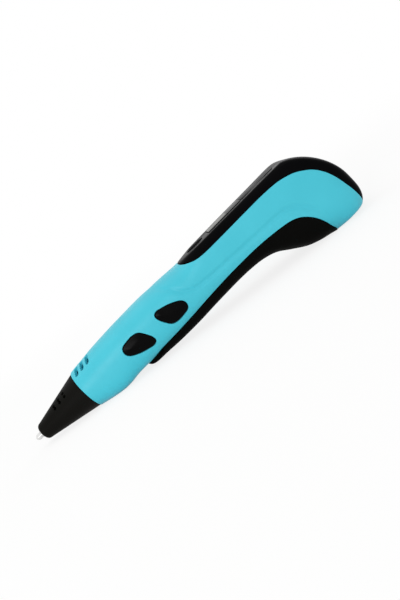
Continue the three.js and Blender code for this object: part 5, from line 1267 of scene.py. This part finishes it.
def arc(centre, radius, first, last):
    """Points on an arc in a lathe outline, between two angles in degrees."""
    turns = np.radians(np.linspace(first, last, ARC_STEPS + 1))
    return [(centre[0] + radius * math.cos(t), centre[1] + radius * math.sin(t)) for t in turns]


def lathe(name, outline, material, stands, station=None):
    """Turns a closed outline of (along, out) points into a ring about the barrel's axis or, at a
    station, about an upright axis from the end face. The outline runs so that the outside faces
    out."""
    turns = np.linspace(0, 2 * math.pi, LATHE_SIDES, endpoint=False)
    along = np.array([a for a, _ in outline])[:, None] + 0 * turns
    out = np.array([r for _, r in outline])[:, None]
    side, up = out * np.cos(turns), out * np.sin(turns)
    rings = [along, side, up] if station is None else [side, up, along]
    origin = (0, 0, 0) if station is None else (station, 0, -END_FACE_DROP)
    places = np.stack(rings, axis=-1).reshape(-1, 3) + np.array(origin)
    count = len(outline)
    faces = []
    for i in range(count):
        for j in range(LATHE_SIDES):
            a, b = i * LATHE_SIDES, (i + 1) % count * LATHE_SIDES
            k = (j + 1) % LATHE_SIDES
            faces.append((a + j, a + k, b + k, b + j))
    piece = add_mesh(name, places, faces, MATERIALS[material])
    sharpen(piece)
    stand_for(piece, *stands)


def build_nozzle():
    """A ceramic nozzle with a rounded tip, a fine bore that opens to the feed, and a flange."""
    tip_round = NOZZLE_TIP_RADIUS - NOZZLE_BORE - 0.1
    edge = NOZZLE_TIP_RADIUS - tip_round
    outline = arc((tip_round, edge), tip_round, 180, 90)
    outline += arc((NOZZLE_SHOULDER, NOZZLE_RADIUS - CORNER), CORNER, 130, 90)
    outline += [
        (NOZZLE_FLANGE, NOZZLE_RADIUS),
        (NOZZLE_FLANGE, NOZZLE_FLANGE_RADIUS - SEAM),
        (NOZZLE_FLANGE + SEAM, NOZZLE_FLANGE_RADIUS),
        (NOZZLE_BACK - SEAM, NOZZLE_FLANGE_RADIUS),
        (NOZZLE_BACK, NOZZLE_FLANGE_RADIUS - SEAM),
        (NOZZLE_BACK, NOZZLE_FEED_BORE + SEAM),
        (NOZZLE_BACK - SEAM, NOZZLE_FEED_BORE),
        (NOZZLE_SHOULDER + 2 * NOZZLE_FEED_BORE, NOZZLE_FEED_BORE),
        (NOZZLE_SHOULDER + NOZZLE_BORE, NOZZLE_BORE),
        (NOZZLE_BORE / 2, NOZZLE_BORE),
    ]
    lathe("nozzle_turned", outline, "ceramic", ("housing", "ceramic", "nozzle"))


def fitting_outline(radius, depth):
    """The outside of a fitting, up from its mouth in the end face to its inner end."""
    return [
        (FITTING_SINK, radius - FITTING_CHAMFER),
        (FITTING_SINK + FITTING_CHAMFER, radius),
        (FLANGE_SINK, radius),
        (FLANGE_SINK, radius + FLANGE_REACH),
        (FLANGE_SINK + FLANGE_THICKNESS, radius + FLANGE_REACH),
        (FLANGE_SINK + FLANGE_THICKNESS, radius),
        (depth, radius),
    ]


def build_fittings():
    """The bush that the filament enters through, and the round power socket with its pin."""
    bush = fitting_outline(INLET_RADIUS, INLET_DEPTH) + [
        (INLET_DEPTH, INLET_BORE),
        (FITTING_SINK + FITTING_CHAMFER, INLET_BORE),
        (FITTING_SINK, INLET_BORE + FITTING_CHAMFER / 2),
    ]
    lathe("filament_inlet_bush", bush, "soft", ("housing", "soft_black", "filament_inlet"),
          INLET_STATION)
    hole = SOCKET_RADIUS - SOCKET_WALL
    body = fitting_outline(SOCKET_RADIUS, SOCKET_DEPTH) + [
        (SOCKET_DEPTH, SEAM),
        (SOCKET_HOLE_DEPTH, SEAM),
        (SOCKET_HOLE_DEPTH, hole),
        (FITTING_SINK + FITTING_CHAMFER, hole),
        (FITTING_SINK, hole + FITTING_CHAMFER / 2),
    ]
    lathe("power_socket_barrel", body, "soft", ("housing", "soft_black", "power_socket"),
          SOCKET_STATION)
    pin_end = 5 * FITTING_SINK + SOCKET_PIN_RADIUS
    pin = arc((pin_end, SEAM), SOCKET_PIN_RADIUS - SEAM, 180, 90) + [
        (SOCKET_HOLE_DEPTH + FITTING_SINK, SOCKET_PIN_RADIUS),
        (SOCKET_HOLE_DEPTH + FITTING_SINK, SEAM / 4),
        (pin_end - SOCKET_PIN_RADIUS + SEAM, SEAM / 4),
    ]
    lathe("power_socket_pin", pin, "steel", ("housing", "steel"), SOCKET_STATION)


# What repeats or follows a path is grown by Geometry Nodes


def geometry_tree(name, sizes):
    """An empty Geometry Nodes tree with one named input for each size."""
    tree = bpy.data.node_groups.new(name, "GeometryNodeTree")
    tree.interface.new_socket("Geometry", in_out="INPUT", socket_type="NodeSocketGeometry")
    for size in sizes:
        tree.interface.new_socket(size, in_out="INPUT", socket_type="NodeSocketFloat")
    tree.interface.new_socket("Geometry", in_out="OUTPUT", socket_type="NodeSocketGeometry")
    return tree, tree.nodes.new("NodeGroupInput").outputs


def grown(name, tree, sizes, places, edges=()):
    """Runs a tree on places in the barrel's axes, and gives what it makes as a plain mesh object.
    Sizes are in millimetres."""
    carrier = add_mesh(name + "_places", places, [], MATERIALS["steel"])
    carrier.data.edges.add(len(edges))
    carrier.data.edges.foreach_set("vertices", [end for edge in edges for end in edge])
    modifier = carrier.modifiers.new(name, "NODES")
    modifier.node_group = tree
    for item in tree.interface.items_tree:
        if item.in_out == "INPUT" and item.name in sizes:
            modifier[item.identifier] = sizes[item.name] / 1000
    depsgraph = bpy.context.evaluated_depsgraph_get()
    mesh = bpy.data.meshes.new_from_object(carrier.evaluated_get(depsgraph))
    bpy.data.objects.remove(carrier)
    mesh.name = name
    materials = [material for material in mesh.materials if material]
    if len(materials) < len(mesh.materials):
        mesh.materials.clear()
        mesh.materials.append(materials[0])
    piece = bpy.data.objects.new(name, mesh)
    bpy.context.scene.collection.objects.link(piece)
    return piece


def screw_tree(sizes):
    """A self-tapping screw at each place: a chamfered head with a cross recess, turned at random,
    over a threaded shank."""
    tree, size = geometry_tree("housing_screws", sizes)
    part = {}
    for name, base, share in (
            ("drum", "Head Height", 0.6), ("chamfer", "Head Height", 0.4),
            ("recess", "Head Radius", 1.25), ("recess level", "Head Height", 0.7),
            ("head level", "Head Height", -0.7), ("neck level", "Head Height", -0.9),
            ("half shank", "Shank Length", -0.5), ("thread", "Shank Length", 0.8),
            ("thread end", "Shank Length", -0.98), ("ridge", "Pitch", 0.28)):
        part[name] = add(tree, "ShaderNodeMath", {0: size[base], 1: share},
                         operation="MULTIPLY").outputs[0]
    drum = add(tree, "GeometryNodeMeshCylinder", {
        "Vertices": 40, "Radius": size["Head Radius"], "Depth": part["drum"]})
    rim = add(tree, "GeometryNodeExtrudeMesh", {
        "Mesh": drum.outputs["Mesh"], "Selection": drum.outputs["Top"],
        "Offset Scale": part["chamfer"]}, mode="FACES")
    head = add(tree, "GeometryNodeScaleElements", {
        "Geometry": rim.outputs["Mesh"], "Selection": rim.outputs["Top"], "Scale": 0.8})
    cut = add(tree, "GeometryNodeMeshBoolean", {"Mesh 1": head.outputs["Geometry"]},
              operation="DIFFERENCE", solver="EXACT")
    high = add(tree, "ShaderNodeCombineXYZ", {"Z": part["recess level"]}).outputs[0]
    for x, y in ((part["recess"], size["Recess Width"]), (size["Recess Width"], part["recess"])):
        box = add(tree, "ShaderNodeCombineXYZ", {"X": x, "Y": y, "Z": size["Head Height"]})
        bar = add(tree, "GeometryNodeMeshCube", {"Size": box.outputs[0]})
        raised = add(tree, "GeometryNodeTransform", {
            "Geometry": bar.outputs["Mesh"], "Translation": high})
        tree.links.new(raised.outputs["Geometry"], cut.inputs["Mesh 2"])
    shank = add(tree, "GeometryNodeMeshCylinder", {
        "Vertices": 24, "Radius": size["Shank Radius"], "Depth": size["Shank Length"]})
    turns = add(tree, "ShaderNodeMath", {0: part["thread"], 1: size["Pitch"]},
                operation="DIVIDE")
    ridge = add(tree, "GeometryNodeCurveSpiral", {
        "Resolution": 20, "Rotations": turns.outputs[0], "Start Radius": size["Shank Radius"],
        "End Radius": size["Shank Radius"], "Height": part["thread"]})
    section = add(tree, "GeometryNodeCurvePrimitiveCircle", {
        "Resolution": 3, "Radius": part["ridge"]})
    thread = add(tree, "GeometryNodeCurveToMesh", {
        "Curve": ridge.outputs["Curve"], "Profile Curve": section.outputs["Curve"],
        "Fill Caps": True})
    levels = [part["head level"]]
    for name in ("half shank", "thread end"):
        levels.append(add(tree, "ShaderNodeMath", {0: part["neck level"], 1: part[name]},
                          operation="ADD").outputs[0])
    screw = add(tree, "GeometryNodeJoinGeometry")
    for shape, level in zip((cut, shank, thread), levels):
        lift = add(tree, "ShaderNodeCombineXYZ", {"Z": level})
        lifted = add(tree, "GeometryNodeTransform", {
            "Geometry": shape.outputs["Mesh"], "Translation": lift.outputs[0]})
        tree.links.new(lifted.outputs["Geometry"], screw.inputs["Geometry"])
    points = add(tree, "GeometryNodeMeshToPoints", {"Mesh": size["Geometry"]}).outputs["Points"]
    placed = add(tree, "GeometryNodeInstanceOnPoints", {
        "Points": points, "Instance": screw.outputs["Geometry"],
        "Rotation": (-math.pi / 2, 0.0, 0.0)}).outputs["Instances"]
    spin = add(tree, "FunctionNodeRandomValue", {"Seed": SCREW_TURN_SEED, 3: math.pi / 2},
               data_type="FLOAT")
    about = add(tree, "ShaderNodeCombineXYZ", {"Z": spin.outputs[1]})
    turned = add(tree, "GeometryNodeRotateInstances", {
        "Instances": placed, "Rotation": about.outputs[0]}).outputs["Instances"]
    real = add(tree, "GeometryNodeRealizeInstances", {"Geometry": turned}).outputs["Geometry"]
    coated = add(tree, "GeometryNodeSetMaterial", {
        "Geometry": real, "Material": MATERIALS["steel"]}).outputs["Geometry"]
    add(tree, "NodeGroupOutput", {"Geometry": coated})
    return tree


def build_screws():
    sizes = {
        "Head Radius": SCREW_HEAD_RADIUS, "Head Height": SCREW_HEAD_HEIGHT,
        "Shank Radius": SCREW_SHANK_RADIUS, "Shank Length": SCREW_SHANK_LENGTH,
        "Pitch": SCREW_PITCH, "Recess Width": SCREW_RECESS_WIDTH,
    }
    places = [(x, half_width_at(x, z) - SCREW_SINK, z) for x, z in screw_places()]
    piece = grown("shell_screws", screw_tree(sizes), sizes, np.array(places, dtype=float))
    nodes = [f"shell_screw_{index + 1}" for index in range(len(places))]
    stand_for(piece, "housing", "steel", *nodes)


def lead_tree(sizes):
    """Two insulated wires twisted round each other along a path."""
    tree, size = geometry_tree("twisted_lead", sizes)
    path = add(tree, "GeometryNodeMeshToCurve", {"Mesh": size["Geometry"]}).outputs["Curve"]
    smooth = add(tree, "GeometryNodeCurveSplineType", {"Curve": path}, spline_type="CATMULL_ROM")
    step = add(tree, "ShaderNodeMath", {0: size["Twist Length"], 1: LEAD_STEP_SHARE},
               operation="MULTIPLY")
    fine = add(tree, "GeometryNodeResampleCurve", {
        "Curve": smooth.outputs["Curve"], "Length": step.outputs[0]}, mode="LENGTH")
    run = add(tree, "GeometryNodeSplineParameter").outputs["Length"]
    share = add(tree, "ShaderNodeMath", {0: run, 1: size["Twist Length"]}, operation="DIVIDE")
    turn = add(tree, "ShaderNodeMath", {0: share.outputs[0], 1: 2 * math.pi},
               operation="MULTIPLY")
    tilted = add(tree, "GeometryNodeSetCurveTilt", {
        "Curve": fine.outputs["Curve"], "Tilt": turn.outputs[0]}).outputs["Curve"]
    pair = add(tree, "GeometryNodeJoinGeometry")
    for side, kind in ((1, "lead"), (-1, "black lead")):
        section = add(tree, "GeometryNodeCurvePrimitiveCircle", {
            "Resolution": 12, "Radius": size["Wire Radius"]}).outputs["Curve"]
        offset = add(tree, "ShaderNodeMath", {0: size["Wire Offset"], 1: side},
                     operation="MULTIPLY")
        aside = add(tree, "ShaderNodeCombineXYZ", {"X": offset.outputs[0]})
        beside = add(tree, "GeometryNodeTransform", {
            "Geometry": section, "Translation": aside.outputs[0]})
        wire = add(tree, "GeometryNodeCurveToMesh", {
            "Curve": tilted, "Profile Curve": beside.outputs["Geometry"],
            "Fill Caps": True}).outputs["Mesh"]
        coated = add(tree, "GeometryNodeSetMaterial", {
            "Geometry": wire, "Material": MATERIALS[kind]}).outputs["Geometry"]
        tree.links.new(coated, pair.inputs["Geometry"])
    real = add(tree, "GeometryNodeRealizeInstances", {
        "Geometry": pair.outputs["Geometry"]}).outputs["Geometry"]
    add(tree, "NodeGroupOutput", {"Geometry": real})
    return tree


def build_leads():
    sizes = {"Wire Radius": LEAD_WIRE_RADIUS, "Wire Offset": LEAD_WIRE_OFFSET,
             "Twist Length": LEAD_TWIST}
    tree = lead_tree(sizes)
    for name, route in LEAD_ROUTES.items():
        edges = [(i, i + 1) for i in range(len(route) - 1)]
        piece = grown(name + "_pair", tree, sizes, np.array(route, dtype=float), edges)
        stand_for(piece, "housing", "lead", name)


# Studio


def build_floor():
    """A wide pale floor, drawn as a coarse grid mesh with a little unevenness in its paint."""
    material, tree, coords, (cloud,) = new_material(
        "painted_studio_floor", (FLOOR_CLOUD_SIZE, 2))
    tint = add(tree, "ShaderNodeMix", {0: cloud, 6: linear("#f4f4f3"), 7: linear("#f8f8f7")},
               data_type="RGBA")
    paint = add(tree, "ShaderNodeBsdfDiffuse", {"Color": tint.outputs[2], "Roughness": 0.4})
    glow = add(tree, "ShaderNodeEmission", {"Color": (1, 1, 1, 1), "Strength": 1.0})
    path = add(tree, "ShaderNodeLightPath")
    seen = add(tree, "ShaderNodeMath", {
        0: path.outputs["Is Camera Ray"], 1: path.outputs["Is Glossy Ray"]},
        operation="MAXIMUM").outputs[0]
    away = add(tree, "ShaderNodeVectorMath", {0: coords}, operation="LENGTH").outputs["Value"]
    far = add(tree, "ShaderNodeMapRange", {
        "Value": away, "From Min": GLOW_FROM, "From Max": GLOW_TO, "To Min": GLOW_SHARES[0],
        "To Max": GLOW_SHARES[1]},
        interpolation_type="SMOOTHSTEP").outputs["Result"]
    share = add(tree, "ShaderNodeMath", {0: seen, 1: far}, operation="MULTIPLY").outputs[0]
    mixed = add(tree, "ShaderNodeMixShader", {0: share, 1: paint.outputs[0], 2: glow.outputs[0]})
    add(tree, "ShaderNodeOutputMaterial", {"Surface": mixed.outputs[0]})
    edge = np.linspace(-FLOOR_REACH, FLOOR_REACH, FLOOR_SPANS + 1)
    row = len(edge)
    places = [(x, y, 0.0) for x in edge for y in edge]
    faces = [(i * row + j, (i + 1) * row + j, (i + 1) * row + j + 1, i * row + j + 1)
             for i in range(FLOOR_SPANS) for j in range(FLOOR_SPANS)]
    mesh = bpy.data.meshes.new("studio_floor")
    mesh.from_pydata(places, [], faces)
    mesh.materials.append(material)
    floor = bpy.data.objects.new("studio_floor", mesh)
    bpy.context.scene.collection.objects.link(floor)


def build_light():
    """An even pale room with soft lamps above, before and behind the pen."""
    world = bpy.data.worlds.new("studio_room")
    bpy.context.scene.world = world
    world.use_nodes = True
    tree = world.node_tree
    tree.nodes.clear()
    path = add(tree, "ShaderNodeLightPath")
    direct = path.outputs["Is Camera Ray"]
    for kind in ("Is Glossy Ray", "Is Transmission Ray"):
        direct = add(tree, "ShaderNodeMath", {0: direct, 1: path.outputs[kind]},
                     operation="MAXIMUM").outputs[0]
    strength = add(tree, "ShaderNodeMapRange", {
        "Value": direct, "To Min": ROOM_LIGHT, "To Max": 1.0}).outputs["Result"]
    room = add(tree, "ShaderNodeBackground", {"Color": (1, 1, 1, 1), "Strength": strength})
    add(tree, "ShaderNodeOutputWorld", {"Surface": room.outputs[0]})
    for name, (place, aim, size, watts) in LAMPS.items():
        lamp = bpy.data.lights.new(name, "AREA")
        lamp.shape = "RECTANGLE"
        lamp.size, lamp.size_y = size
        lamp.energy = watts
        holder = bpy.data.objects.new(name, lamp)
        holder.location = place
        holder.rotation_euler = (Vector(aim) - Vector(place)).to_track_quat("-Z", "Y").to_euler()
        bpy.context.scene.collection.objects.link(holder)


def build_camera():
    """The photograph's view: from the left side, a little above, with the pen rising to the right."""
    camera = bpy.data.cameras.new("photo_camera")
    camera.lens = CAMERA_LENS
    camera.sensor_width = CAMERA_SENSOR
    camera.shift_x, camera.shift_y = CAMERA_SHIFT_SHARES
    camera.clip_start = CAMERA_CLIP
    back = Vector((0, -math.cos(CAMERA_ELEVATION), math.sin(CAMERA_ELEVATION)))
    level = Vector((1, 0, 0))
    upright = back.cross(level)
    right = level * math.cos(CAMERA_ROLL) - upright * math.sin(CAMERA_ROLL)
    up = level * math.sin(CAMERA_ROLL) + upright * math.cos(CAMERA_ROLL)
    turn = Matrix((right, up, back)).transposed().to_4x4()
    holder = bpy.data.objects.new("photo_camera", camera)
    holder.matrix_world = Matrix.Translation(Vector(CAMERA_AIM) + back * CAMERA_DISTANCE) @ turn
    bpy.context.scene.collection.objects.link(holder)
    bpy.context.scene.camera = holder


build_camera()
finish_nodes()
build_shell("left_shell", -1)
build_shell("right_shell", 1)
build_slot_floor()
build_cap()
build_keel()
build_cone()
build_button("load_button", LOAD_PETAL)
build_button("unload_button", UNLOAD_PETAL)
build_controls()
build_nozzle()
build_fittings()
build_screws()
build_leads()
build_floor()
build_light()

bpy.context.scene.view_settings.view_transform = "Standard"
